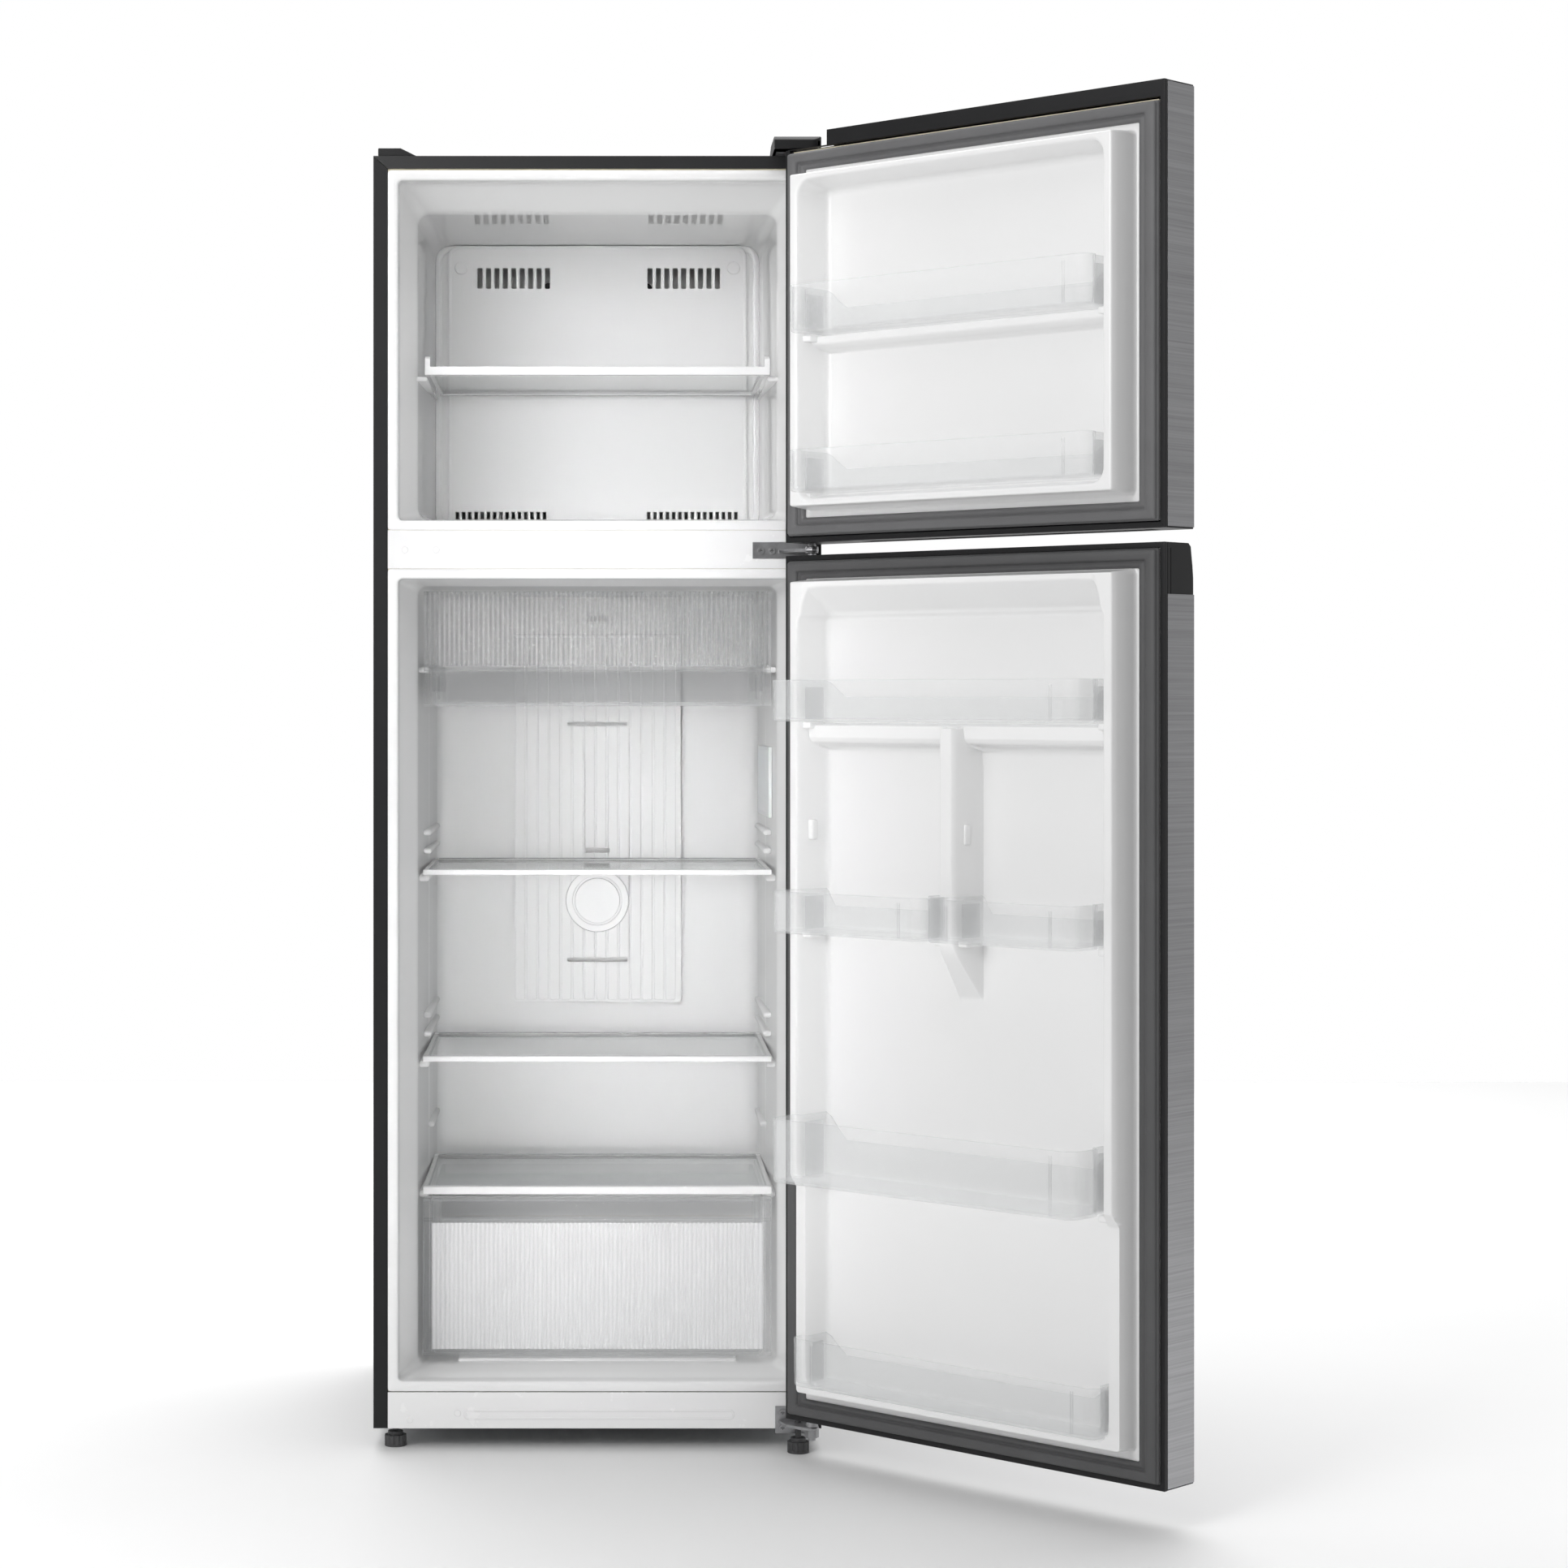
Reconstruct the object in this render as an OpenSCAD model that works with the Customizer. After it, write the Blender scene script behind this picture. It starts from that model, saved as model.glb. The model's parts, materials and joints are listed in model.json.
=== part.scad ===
// Top freezer refrigerator, both doors standing open on their right-hand hinges.
// +X is to the right as seen from the front, +Y runs from the front flange to the back, +Z is up.
// Origin: floor level, on the cabinet's centre line, in the plane of the cabinet's front flange.

/* [Cabinet] */
// Width of the cabinet and of both doors
cab_w = 595; // [590:1:600]
// Depth of the cabinet without its doors
cab_d = 590; // [586:1:600]
// Height of the cabinet's top above the floor
cab_top = 1718; // [1715:1:1722]
// Height of the cabinet's underside above the floor
base_z = 28; // [26:1:30]
// Width of the dark steel flange at the sides of the front
flange_w = 19; // [17:1:20]
// Half the width of both openings at the front
open_hw = 264.6; // [264:0.1:266]

/* [Compartments] */
// Bottom of the freezer opening
fz_z0 = 1234; // [1233:1:1235]
// Top of the freezer opening
fz_z1 = 1686; // [1685:1:1688]
// Bottom of the fridge opening
fr_z0 = 90; // [89:1:91]
// Top of the fridge opening
fr_z1 = 1156.5; // [1156:0.5:1157]
// Depth of the compartments behind the flange
liner_d = 520; // [518:1:522]
// Half the width of the compartments behind the front step
liner_hw = 243.5; // [243.5:0.5:245]
// Distance of the evaporator cover behind the flange
evap_y = 410; // [409:1:412]

/* [Doors] */
// Thickness of a door without its gasket
door_t = 65; // [64:1:66]
// Angle at which both doors stand open
door_open = 136; // [134:1:136]
// Gap between a closed door's inner plane and the flange
door_gap = 10; // [10:0.5:11]
// Bottom of the freezer door
fzd_z0 = 1201; // [1200:1:1202]
// Top of the freezer door
fzd_z1 = 1735; // [1734:1:1736]
// Bottom of the fridge door
frd_z0 = 54; // [53:1:55]
// Top of the fridge door
frd_z1 = 1184; // [1183:1:1185]
// Height of the recessed grip along the fridge door's top
grip_h = 62; // [58:1:66]
// Height of the door liner's raised rim
dyke_h = 45; // [44:1:45]

/* [Hinges] */
// Hinge pins' distance to the right of the centre line
pin_x = 282; // [281:0.5:282]
// Hinge pins' distance in front of the flange
pin_y = 45; // [45:0.5:46]
// Radius of the hinge pins
pin_r = 5; // [4.5:0.1:5.5]
// Radial running clearance of the pins in the doors' bushes
pin_play = 0.06; // [0.03:0.01:0.08]

/* [Shelves and drawers] */
// Front edge of the fridge shelves behind the flange
shelf_y = 108; // [106:1:110]
// Depth of the fridge shelves
shelf_d = 332; // [326:1:334]
// Half the width of the fridge shelves
shelf_hw = 237; // [236:0.5:237]
// Height of the upper fridge shelf
z_upper = 763; // [761:1:765]
// Height of the middle fridge shelf
z_middle = 509; // [507:1:511]
// Height of the shelf over the crisper
z_cover = 332; // [331:1:333]
// Height of the freezer shelf
z_freezer = 1441; // [1440:1:1443]
// Thickness of the glass shelves
glass_t = 4; // [3:0.5:4]
// Bottom of the chiller drawer
z_chiller = 987; // [986:1:989]
// Bottom of the crisper drawer
z_crisper = 102; // [101:1:103]

/* [Door baskets] */
// Wall thickness of the clear baskets
bk_t = 2.6; // [2.4:0.1:2.8]
// Front of the fridge door baskets over the door's inner plane
bk_h = 104; // [100:1:104]
// Front of the freezer door baskets over the door's inner plane
bkf_h = 74; // [70:1:74]
// Front of the bottom basket over the door's inner plane
bkb_h = 61; // [58:1:61]

/* [Running gear] */
// Radius of the rear rollers
roller_r = 13; // [12:0.5:13]
// Radius of a front foot's sole
foot_r = 14.5; // [13:0.5:15]
// Radius of the evaporator fan
fan_r = 52; // [46:1:54]

/* [Hidden] */
$fn = 40;

hw = cab_w / 2;
steel = 1;          // outer sheet metal
lt = 2;             // liner thickness
lip_y = 30;         // the front step of the liners starts here
step_y = 100;       // and ends here
back_hw = 236;      // half the width of the fridge compartment at its back
fz_back_hw = 231;   // half the width of the freezer compartment at its back
deck_y = 372;       // front of the machine space
deck_z = 224;       // top of the machine space
hump_y = 330;       // the hump over the machine space, seen from inside
foot_l = [-269.6, 27];
foot_rt = [265.8, -16];
roller_x = 232;
roller_y = 540;
duct_y = 506;       // front of the duct cover
cap_z = 699;        // centre of the round cap
duct_hw = 124;
fan_z = 1528;

charcoal = [0.24, 0.24, 0.25];
black = [0.10, 0.10, 0.11];
white = [0.94, 0.94, 0.93];
inox = [0.62, 0.62, 0.63];
zinc = [0.72, 0.72, 0.73];
clear = [0.86, 0.89, 0.90, 0.45];
rubber_grey = [0.36, 0.36, 0.37];
foam_col = [0.93, 0.90, 0.80];

// ---------- helpers ----------
function arc(c, r, a0, a1, n) = [for (i = [0:n]) c + r * [cos(a0 + (a1 - a0) * i / n), sin(a0 + (a1 - a0) * i / n)]];
// a rectangle with round corners, as points
function rrect(x0, x1, y0, y1, r, n = 5) = concat(
    arc([x1 - r, y1 - r], r, 0, 90, n), arc([x0 + r, y1 - r], r, 90, 180, n),
    arc([x0 + r, y0 + r], r, 180, 270, n), arc([x1 - r, y0 + r], r, 270, 360, n));
// a profile drawn in X and Z, from y0 to y1
module xz(y0, y1) translate([0, y1, 0]) rotate([90, 0, 0]) linear_extrude(y1 - y0) children();
// a profile drawn in Y and Z, from x0 to x1
module yz(x0, x1) translate([x0, 0, 0]) rotate([90, 0, 90]) linear_extrude(x1 - x0) children();
// a profile drawn in X and Y, from z0 to z1
module xy(z0, z1) translate([0, 0, z0]) linear_extrude(z1 - z0) children();
// a block given by its two corners
module blk(a, b) translate(a) cube(b - a);
module cyl(p, r, h) translate(p) cylinder(r = r, h = h);
// a cylinder along Y, from p towards the back
module cyl_y(p, r, l) translate(p) rotate([-90, 0, 0]) cylinder(r = r, h = l);
// a cylinder along X
module cyl_x(p, r, l) translate(p) rotate([0, 90, 0]) cylinder(r = r, h = l);
module both() { children(); mirror([1, 0, 0]) children(); }

// ---------- compartments ----------
// plan of a compartment, grown by g
module plan(bhw, g, r) polygon(concat(
    [[-open_hw - g, -1], [open_hw + g, -1], [open_hw + g, lip_y], [liner_hw + g, step_y]],
    arc([bhw + g - r, liner_d + g - r], r, 0, 90, 5),
    arc([-bhw - g + r, liner_d + g - r], r, 90, 180, 5),
    [[-liner_hw - g, step_y], [-open_hw - g, lip_y]]));
// the freezer compartment's space, grown by g
module fz_space(g) intersection() {
    xy(fz_z0 - 20, fz_z1 + 20) plan(fz_back_hw, g, 22);
    yz(-400, 400) polygon([[-1, fz_z0 - g], [lip_y, fz_z0 - g], [step_y, fz_z0 + 6 - g],
        [700, fz_z0 + 8 - g], [700, fz_z1 - 34 + g], [step_y, fz_z1 - 31 + g],
        [lip_y, fz_z1 + g], [-1, fz_z1 + g]]);
}
// the fridge compartment's space, grown by g, with the hump over the machine space
module fr_space(g) intersection() {
    xy(fr_z0 - 20, fr_z1 + 20) plan(back_hw, g, 26);
    yz(-400, 400) polygon([[-1, fr_z0 - g], [lip_y, fr_z0 - g], [step_y, fr_z0 + 4 - g],
        [hump_y - 18 + g, fr_z0 + 5 - g], [hump_y + g, 262 - g], [400, 284 - g],
        [700, 288 - g], [700, fr_z1 - 9 + g], [step_y, fr_z1 - 7 + g],
        [lip_y, fr_z1 + g], [-1, fr_z1 + g]]);
}
function wall_x(y) = liner_hw + (back_hw - liner_hw) * (y - step_y) / (liner_d - 26 - step_y);
// a shelf rib on both side walls, its top at z
module rib(z, y0, y1, inner, h) both() xy(z - h, z)
    polygon([[inner, y0 + 6], [inner + 6, y0], [wall_x(y0) + 0.8, y0], [wall_x(y1) + 0.8, y1], [inner, y1]]);
// a front flange frame around an opening
module flange_frame(z0, z1, w) xz(0, lt) difference() {
    translate([-hw + flange_w, z0 - w]) square([cab_w - 2 * flange_w, z1 - z0 + 2 * w]);
    polygon(rrect(-open_hw, open_hw, z0, z1, 6));
}

module side_panels() color(charcoal) both() union() {
    blk([hw - steel, 0, base_z], [hw, cab_d - 1.5, cab_top - 1.2]);
    blk([hw - flange_w, 0, base_z], [hw, steel, cab_top - 17]);
    // the flange is mitred at the top corner
    xz(0, steel) polygon([[hw - flange_w, cab_top - 17], [hw, cab_top - 17], [hw, cab_top - 1.2]]);
    blk([hw - flange_w, steel, base_z], [hw - flange_w + steel, 9, cab_top - 19]);
    blk([hw - 12, cab_d - 2.5, base_z], [hw, cab_d - 1.5, cab_top - 1.2]);
}
module top_panel() color(black) union() {
    blk([-hw, 0, cab_top - 1], [hw, cab_d - 1.5, cab_top]);
    xz(0, steel) polygon([[-hw + 0.4, cab_top - 0.9], [-hw + flange_w + 0.4, cab_top - 17],
        [hw - flange_w - 0.4, cab_top - 17], [hw - 0.4, cab_top - 0.9]]);
    blk([-hw + 24, cab_d - 2.5, cab_top - 13], [hw - 24, cab_d - 1.5, cab_top - 0.9]);
}
module back_panel() color(zinc) difference() {
    union() {
        blk([-hw + 1.2, cab_d - 1.4, deck_z + 8], [hw - 1.2, cab_d - 0.4, cab_top - 1.5]);
        for (x = [-150, 0, 150]) xz(cab_d - 0.5, cab_d) polygon(rrect(x - 55, x + 55, 420, 1560, 20));
    }
}
module bottom_pan() color(zinc) difference() {
    union() {
        yz(-hw + 1.2, hw - 1.2) polygon([
    [9.5, base_z], [deck_y, base_z], [deck_y, deck_z - 30], [deck_y + 44, deck_z], [cab_d - 2.6, deck_z + 6],
    [cab_d - 2.6, deck_z + 7], [deck_y + 43.6, deck_z + 1], [deck_y - 1, deck_z - 29.6], [deck_y - 1, base_z + 1], [9.5, base_z + 1]]);
        // threaded boss of the left foot
        cyl([foot_l[0], foot_l[1], base_z], 10, 8);
    }
    cyl([foot_l[0], foot_l[1], base_z - 1], 4.06, 20);
}
module cabinet_foam() color(foam_col) difference() {
    blk([-hw + 1.1, lt + 0.1, base_z + 1.1], [hw - 1.1, cab_d - 2.6, cab_top - 1.1]);
    fz_space(lt);
    fr_space(lt);
    // the machine space
    yz(-400, 400) polygon([[deck_y - 1, 0], [deck_y - 1, deck_z - 29.6], [deck_y + 43.6, deck_z + 1],
        [cab_d - 2.6, deck_z + 7], [700, deck_z + 11], [700, 0]]);
    // pocket over the left foot's boss
    cyl([foot_l[0], foot_l[1], base_z], 10.6, 24);
    // the returns of the side and top flanges, and the rails' backs
    both() blk([hw - flange_w - 0.1, -1, 0], [hw + 1, 9.2, cab_top + 1]);
    blk([-hw, -1, cab_top - 17.2], [hw, 3, cab_top + 1]);
    blk([-hw, -1, fr_z1 + 12], [hw, 12.2, fz_z0 - 12]);
    blk([-hw, -1, 0], [hw, 14.2, 77.2]);
    both() blk([hw - 24.5, cab_d - 2.8, 0], [hw + 1, cab_d, 2000]);
    blk([-hw, cab_d - 2.8, cab_top - 14], [hw, cab_d, 2000]);
}
module freezer_liner() color(white) difference() {
    union() {
        fz_space(lt);
        flange_frame(fz_z0, fz_z1, 13);
        // sockets for the shelf's ends
    }
    difference() {
        fz_space(0);
        rib_fz(z_freezer - 7.4);
    }
    blk([-400, -5, 0], [400, 0, 2000]);
}
module rib_fz(z) both() xy(z - 6, z) polygon([[229, 98], [232, 92], [250, 92], [250, 400], [229, 400]]);
module fridge_liner() color(white) difference() {
    union() {
        fr_space(lt);
        flange_frame(fr_z0, fr_z1, 13);
    }
    difference() {
        fr_space(0);
        // one long rib under each shelf, and short ones at the heights it can move to
        for (z = [z_upper, z_middle]) {
            rib(z - 6.4, 126, 470, 229, 9);
            for (k = [1, 2]) rib(z + 26 * k, 210, 470, 230, 8);
        }
        rib(z_cover - 6.4, 126, 470, 229, 9);
        rib(z_cover + 66, 300, 470, 230, 8);
        // rails of the chiller drawer
        rib(1040.6, 118, 470, 229, 8);
        // the floor's step under the crisper
        yz(-190, 190) polygon([[118, 60], [118, 98.6], [290, 98.6], [298, 60]]);
    }
    blk([-400, -5, 0], [400, 0, 2000]);
}
module mullion_rail() color(white) difference() { union() {
    blk([-hw + flange_w + 0.2, -0.8, fr_z1 + 13.2], [hw - flange_w - 0.2, 1.2, fz_z0 - 13.2]);
    blk([-hw + flange_w + 0.2, 1, fz_z0 - 16], [hw - flange_w - 0.2, 12, fz_z0 - 14]);
    blk([-hw + flange_w + 0.2, 1, fr_z1 + 14], [hw - flange_w - 0.2, 12, fr_z1 + 16]);
    // blind screw plugs at the free side
    for (x = [-255.5, -214]) cyl_y([x, -2, 1194.6], 4.2, 2);
    }
    for (x = [217, 232]) cyl_y([x, -5, 1193], 2.6, 12);
}
module bottom_rail() color(white) difference() {
    union() {
        blk([-hw + flange_w + 0.2, -0.8, base_z], [hw - flange_w - 0.2, 1.2, 76]);
        blk([-hw + flange_w + 0.2, 1, 74], [hw - flange_w - 0.2, 14, 76]);
        blk([-hw + flange_w + 0.2, 1, base_z + 1.2], [hw - flange_w - 0.2, 2.6, base_z + 24]);
        for (p = [[-249, 39.8], [-185.4, 48.4]]) cyl_y([p[0], -2, p[1]], 4.2, 2);
        // a long raised frame
        xz(-1.7, 0) difference() {
            polygon(rrect(-177, 182, 40, 53, 6));
            polygon(rrect(-174.4, 179.4, 42.6, 50.4, 3.8));
        }
    }
    for (p = [[246, 50], [262, 50], [246, 30]]) cyl_y([p[0], -5, p[1]], 2.6, 12);
}

// ---------- hinges ----------
module top_hinge() color(zinc) difference() {
    union() {
        blk([236, -30, cab_top + 0.2], [291, 52, cab_top + 3.2]);
        blk([262, -52, cab_top + 0.2], [291, -30, cab_top + 3.2]);
        cyl([pin_x, -pin_y, cab_top + 0.2], 9, 3);
        cyl([pin_x, -pin_y, cab_top - 24], pin_r, 26);
        cyl([pin_x, -pin_y, cab_top + 2], 8, 4);
    }
    for (p = [[250, 34], [278, 34], [250, 12]]) cyl([p[0], p[1], cab_top - 1], 2.6, 6);
}
module top_hinge_cover() color(black) difference() {
    union() {
        yz(232, hw - 3) polygon([[-58, cab_top + 0.3], [-58, cab_top + 12], [-50, cab_top + 17.5], [30, cab_top + 18],
            [64, cab_top + 9], [66, cab_top + 0.3]]);
    }
    // hollow underneath, over the hinge plate
    blk([234, -55, cab_top - 1], [hw - 5, 56, cab_top + 11]);
    // the outer front corner is rounded off
    difference() {
        blk([hw - 16, -70, cab_top - 1], [hw + 5, -45, cab_top + 30]);
        cyl([hw - 16, -45, cab_top - 2], 13, 40);
    }
}
module blank_hinge_plug() color(black) union() {
    yz(-hw + 6, -hw + 32) polygon([[4, cab_top + 0.2], [4, cab_top + 11], [60, cab_top + 11], [72, cab_top + 0.2]]);
    xz(4, 60) polygon([[-hw + 31, cab_top + 0.2], [-hw + 31, cab_top + 11], [-hw + 36, cab_top + 11], [-hw + 58, cab_top + 0.2]]);
}
module middle_hinge() color(zinc) difference() {
    union() {
        // plate on the rail
        blk([206, -3.4, 1183], [291, -0.9, 1205]);
        // tongue that carries both pins
        xy(1190.5, 1194.5) polygon([[240, -2], [291, -2], [291, -pin_y], [288, -pin_y - 8], [pin_x, -pin_y - 10], [274, -pin_y - 7]]);
        cyl([pin_x, -pin_y, 1170], pin_r, 45);
        cyl([pin_x, -pin_y, 1188], 8.5, 9);
    }
    for (x = [217, 232]) cyl_y([x, -5, 1193], 2.6, 6);
}
module lower_hinge() color(zinc) union() {
    difference() {
        union() {
            blk([236, -3.4, 22], [291, -0.9, 58]);
            xy(36, 40) polygon([[240, -2], [291, -2], [291, -pin_y], [288, -pin_y - 9], [pin_x, -pin_y - 12], [270, -pin_y - 6], [248, -30]]);
        }
        for (p = [[246, 50], [262, 50], [246, 30]]) cyl_y([p[0], -5, p[1]], 2.6, 6);
        cyl([foot_rt[0], foot_rt[1], 30], 4.06, 20);
        cyl([pin_x, -pin_y, 30], pin_r, 20);
    }
    // pin with its collar, and the nut under the tongue
    cyl([pin_x, -pin_y, 22], pin_r, 47);
    cyl([pin_x, -pin_y, 40], 8, 8);
    translate([pin_x, -pin_y, 26]) cylinder(r = 9.5, h = 10, $fn = 6);
}
module pan_head(p, r = 4.6) color(zinc) translate(p) rotate([90, 0, 0]) difference() {
    union() { cylinder(r = r, h = 2.2); translate([0, 0, -4]) cylinder(r = 2.5, h = 5); }
    translate([0, 0, 1]) for (a = [0, 90]) rotate([0, 0, a]) cube([5, 1, 4], center = true);
}
module hinge_screws() {
    for (x = [217, 232]) pan_head([x, -3.5, 1193]);
    for (p = [[246, 50], [262, 50], [246, 30]]) pan_head([p[0], -3.5, p[1]]);
    for (p = [[250, 34], [278, 34], [250, 12]]) color(zinc)
        union() { cyl([p[0], p[1], cab_top + 3.3], 5, 3); cyl([p[0], p[1], cab_top + 0.3], 2.5, 4); }
}

// ---------- running gear ----------
module base_plate() color(zinc) difference() {
    union() {
        blk([-hw + 2, deck_y + 1, base_z], [hw - 2, cab_d - 8, base_z + 2]);
        blk([-hw + 2, deck_y + 1, base_z], [hw - 2, deck_y + 3, base_z + 20]);
        blk([-hw + 2, cab_d - 10, base_z], [hw - 2, cab_d - 8, base_z + 20]);
    }
    for (x = [-110, 10], y = [430, 530]) cyl([x, y, base_z - 1], 4.2, 4);
}
module roller_brackets() color(zinc) both() union() {
    for (x = [-15, 12.5]) difference() {
        yz(roller_x + x, roller_x + x + 2.5) polygon([[roller_y - 20, base_z - 0.1], [roller_y - 9, 6], [roller_y + 9, 6], [roller_y + 20, base_z - 0.1]]);
        cyl_x([roller_x - 30, roller_y, roller_r], 3, 60);
    }
    blk([roller_x - 15, roller_y - 20, base_z - 1.6], [roller_x + 15, roller_y + 20, base_z - 0.1]);
    cyl_x([roller_x - 17, roller_y, roller_r], 3, 34);
}
module roller(s) color(black) difference() {
    union() {
        cyl_x([s * roller_x - 11, roller_y, roller_r], roller_r, 22);
    }
    cyl_x([s * roller_x - 20, roller_y, roller_r], 3.06, 40);
    for (x = [-11.1, 8.6]) difference() {
        cyl_x([s * roller_x + x, roller_y, roller_r], roller_r - 2.6, 2.5);
        cyl_x([s * roller_x + x, roller_y, roller_r], 5.5, 2.5);
    }
}
module roller_left() roller(-1);
module roller_right() roller(1);
// a levelling foot: ribbed sole, neck and threaded stem
module foot(p, top) color(black) translate([p[0], p[1], 0]) union() {
    difference() {
        cylinder(r = foot_r, h = 15);
        for (a = [0:30:330]) rotate([0, 0, a]) translate([foot_r + 0.8, 0, 3]) cylinder(r = 2, h = 20, $fn = 16);
    }
    cylinder(r = foot_r - 4.5, h = 20);
    cylinder(r = 4, h = top);
}
module foot_left() foot(foot_l, 46);
module foot_right() foot(foot_rt, 46);

// ---------- machine space ----------
module compressor() color(black) {
    translate([-50, 480, 0]) union() {
        rotate_extrude() polygon(concat([[0, 42]], arc([50, 64], 22, -90, 0, 5), arc([50, 166], 22, 0, 90, 5), [[0, 188]]));
        translate([0, 0, 116]) cylinder(r = 75, h = 5);
    }
    translate([-50, 480, 0]) for (x = [-60, 60], y = [-50, 50]) difference() {
        blk([x - 16, y - 14, 44], [x + 16, y + 14, 47]);
        cyl([x, y, 40], 4.2, 10);
    }
}
module compressor_mounts() color(black) for (x = [-110, 10], y = [430, 530]) difference() {
    union() { cyl([x, y, base_z + 2.1], 10, 5); cyl([x, y, base_z + 2.1], 7.5, 13.6); }
    cyl([x, y, base_z], 4.2, 20);
}
module drip_tray() color(white) difference() {
    blk([70, 400, base_z + 2.2], [250, 565, 64]);
    blk([72.5, 402.5, base_z + 4.7], [247.5, 562.5, 100]);
}
module machine_cover() color(charcoal) difference() {
    union() {
        blk([-hw + 14, cab_d - 1.4, base_z + 24], [hw - 26, cab_d - 0.2, deck_z + 6]);
        blk([-hw + 14, cab_d - 7, base_z + 24], [-hw + 15.5, cab_d - 1.4, deck_z - 2]);
    }
    for (x = [-230:26:200], z = [80, 120, 160]) blk([x, cab_d - 5, z], [x + 14, cab_d + 5, z + 24]);
    cyl_y([236, cab_d - 5, 80], 9, 20);
}
module cord_inlet() color(black) difference() {
    union() {
        cyl_y([236, cab_d - 3.6, 80], 8.9, 3.5);
        cyl_y([236, cab_d - 3.6, 80], 13, 2);
    }
    cyl_y([236, cab_d - 10, 80], 3.6, 20);
}

// ---------- cold side ----------
module evaporator() color(zinc) union() {
    for (i = [0:26]) blk([-182 + i * 14, 432, 1262], [-181.2 + i * 14, 492, 1400]);
    for (z = [1275:26:1390], y = [446, 478]) cyl_x([-194, y, z], 4, 388);
    both() for (z = [1275:52:1360], y = [446, 478]) blk([189, y - 4, z - 4], [197, y + 4, z + 30]);
    // feet on the liner's floor
    both() blk([140, 436, fz_z0 + 8.4], [142, 488, 1264]);
    both() blk([126, 436, fz_z0 + 8.4], [142, 488, fz_z0 + 10.4]);
}
module fan_motor() color(charcoal) difference() {
    union() {
        // ring plate around the fan, with the motor held on three arms behind it
        xz(414, 418) difference() {
            polygon(rrect(-80, 80, fan_z - 72, fan_z + 72, 10));
            translate([0, fan_z]) circle(r = fan_r + 4, $fn = 60);
        }
        for (a = [90, 210, 330]) translate([0, 0, fan_z]) rotate([0, -a, 0]) blk([18, 448, -4], [66, 454, 4]);
        for (a = [90, 210, 330]) translate([0, 0, fan_z]) rotate([0, -a, 0]) blk([60, 416, -4], [66, 454, 4]);
        cyl_y([0, 448, fan_z], 24, 34);
        cyl_y([0, 430, fan_z], 2.5, 20);
    }
}
module fan_blade() color(white) difference() {
    union() {
        cyl_y([0, 424, fan_z], 15, 20);
        for (a = [0:72:288]) translate([0, 434, fan_z]) rotate([0, a, 0]) rotate([28, 0, 0]) blk([12, -1, -17], [fan_r - 2, 1, 17]);
    }
    cyl_y([0, 428, fan_z], 2.55, 40);
}
module evaporator_cover() color(white) difference() {
    union() {
        intersection() {
            xz(evap_y, evap_y + 3) polygon(rrect(-fz_back_hw - 1, fz_back_hw + 1, fz_z0 + 8.2, fz_z1 - 33.8, 20));
            fz_space(-0.3);
        }
        // raised centre panel
        xz(evap_y - 7, evap_y + 1) polygon(rrect(-214.6, 214.6, fz_z0 + 8.6, fz_z1 - 35, 16));
        // round screw covers
        for (x = [-197, 197]) cyl_y([x, evap_y - 8.6, 1620], 9, 3);
    }
    // two groups of air slots and the return grille at the foot
    for (s = [-174, 72], i = [0:8]) xz(evap_y - 20, evap_y + 20) polygon(rrect(s + 0.5 + i * 12.2, s + 7.9 + i * 12.2, 1590, 1620, 2));
    for (s = [-205, 72], i = [0:14]) blk([s + i * 9, evap_y - 20, fz_z0 + 13], [s + 5 + i * 9, evap_y + 20, fz_z0 + 33]);
    // hollow behind
    xz(evap_y - 4.5, evap_y + 20) polygon(rrect(-205, 205, fz_z0 + 50, 1575, 10));
}
module duct_cover() color(white) difference() {
    union() {
        xz(duct_y, liner_d - 0.2) polygon(rrect(-duct_hw, duct_hw, 549, 1146, 4));
        // broad flutes, and the plain block at the top
        for (i = [0:13]) if (i != 6.5) xz(duct_y - 1.6, duct_y + 1) polygon(rrect(-duct_hw + 3 + i * 17.1, -duct_hw + 17 + i * 17.1, 553, 1088, 1.5, 2));
        xz(duct_y - 4, duct_y + 1) polygon(rrect(-duct_hw, duct_hw, 1092, 1146, 3));
    }
    // air slots
    for (z = [959.5, 611.5]) xz(duct_y - 20, duct_y + 8) polygon(rrect(-44, 44, z - 3, z + 3, 2));
    for (z = [773, 750]) xz(duct_y - 20, duct_y + 8) polygon(rrect(-18, 18, z - 3.5, z + 3.5, 2));
    for (i = [0:5]) blk([-16 + i * 5.4, duct_y - 20, 1110], [-11.6 + i * 5.4, duct_y + 8, 1119]);
    // seat of the round cap
    cyl_y([0, duct_y - 3, cap_z], 46.4, 5);
    // hollow behind
    xz(duct_y + 3, liner_d + 5) polygon(rrect(-duct_hw + 3, duct_hw - 3, 552, 1142, 3));
}
module duct_cap() color(white) difference() {
    union() {
        cyl_y([0, duct_y - 4, cap_z], 46, 5.8);
        cyl_y([0, duct_y - 8, cap_z], 33, 6);
    }
    difference() { cyl_y([0, duct_y - 5, cap_z], 36.5, 2.4); cyl_y([0, duct_y - 6, cap_z], 33, 4); }
}
module lamp_cover() color([1, 1, 1]) difference() {
    xy(832, 930) polygon([[wall_x(186) - 0.3, 186], [wall_x(186) - 5, 190], [wall_x(408) - 5, 404], [wall_x(408) - 0.3, 408]]);
    for (i = [0:8]) blk([200, 200 + i * 24, 838], [wall_x(186) - 4.2 - i * 0.39, 206 + i * 24, 924]);
}

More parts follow.
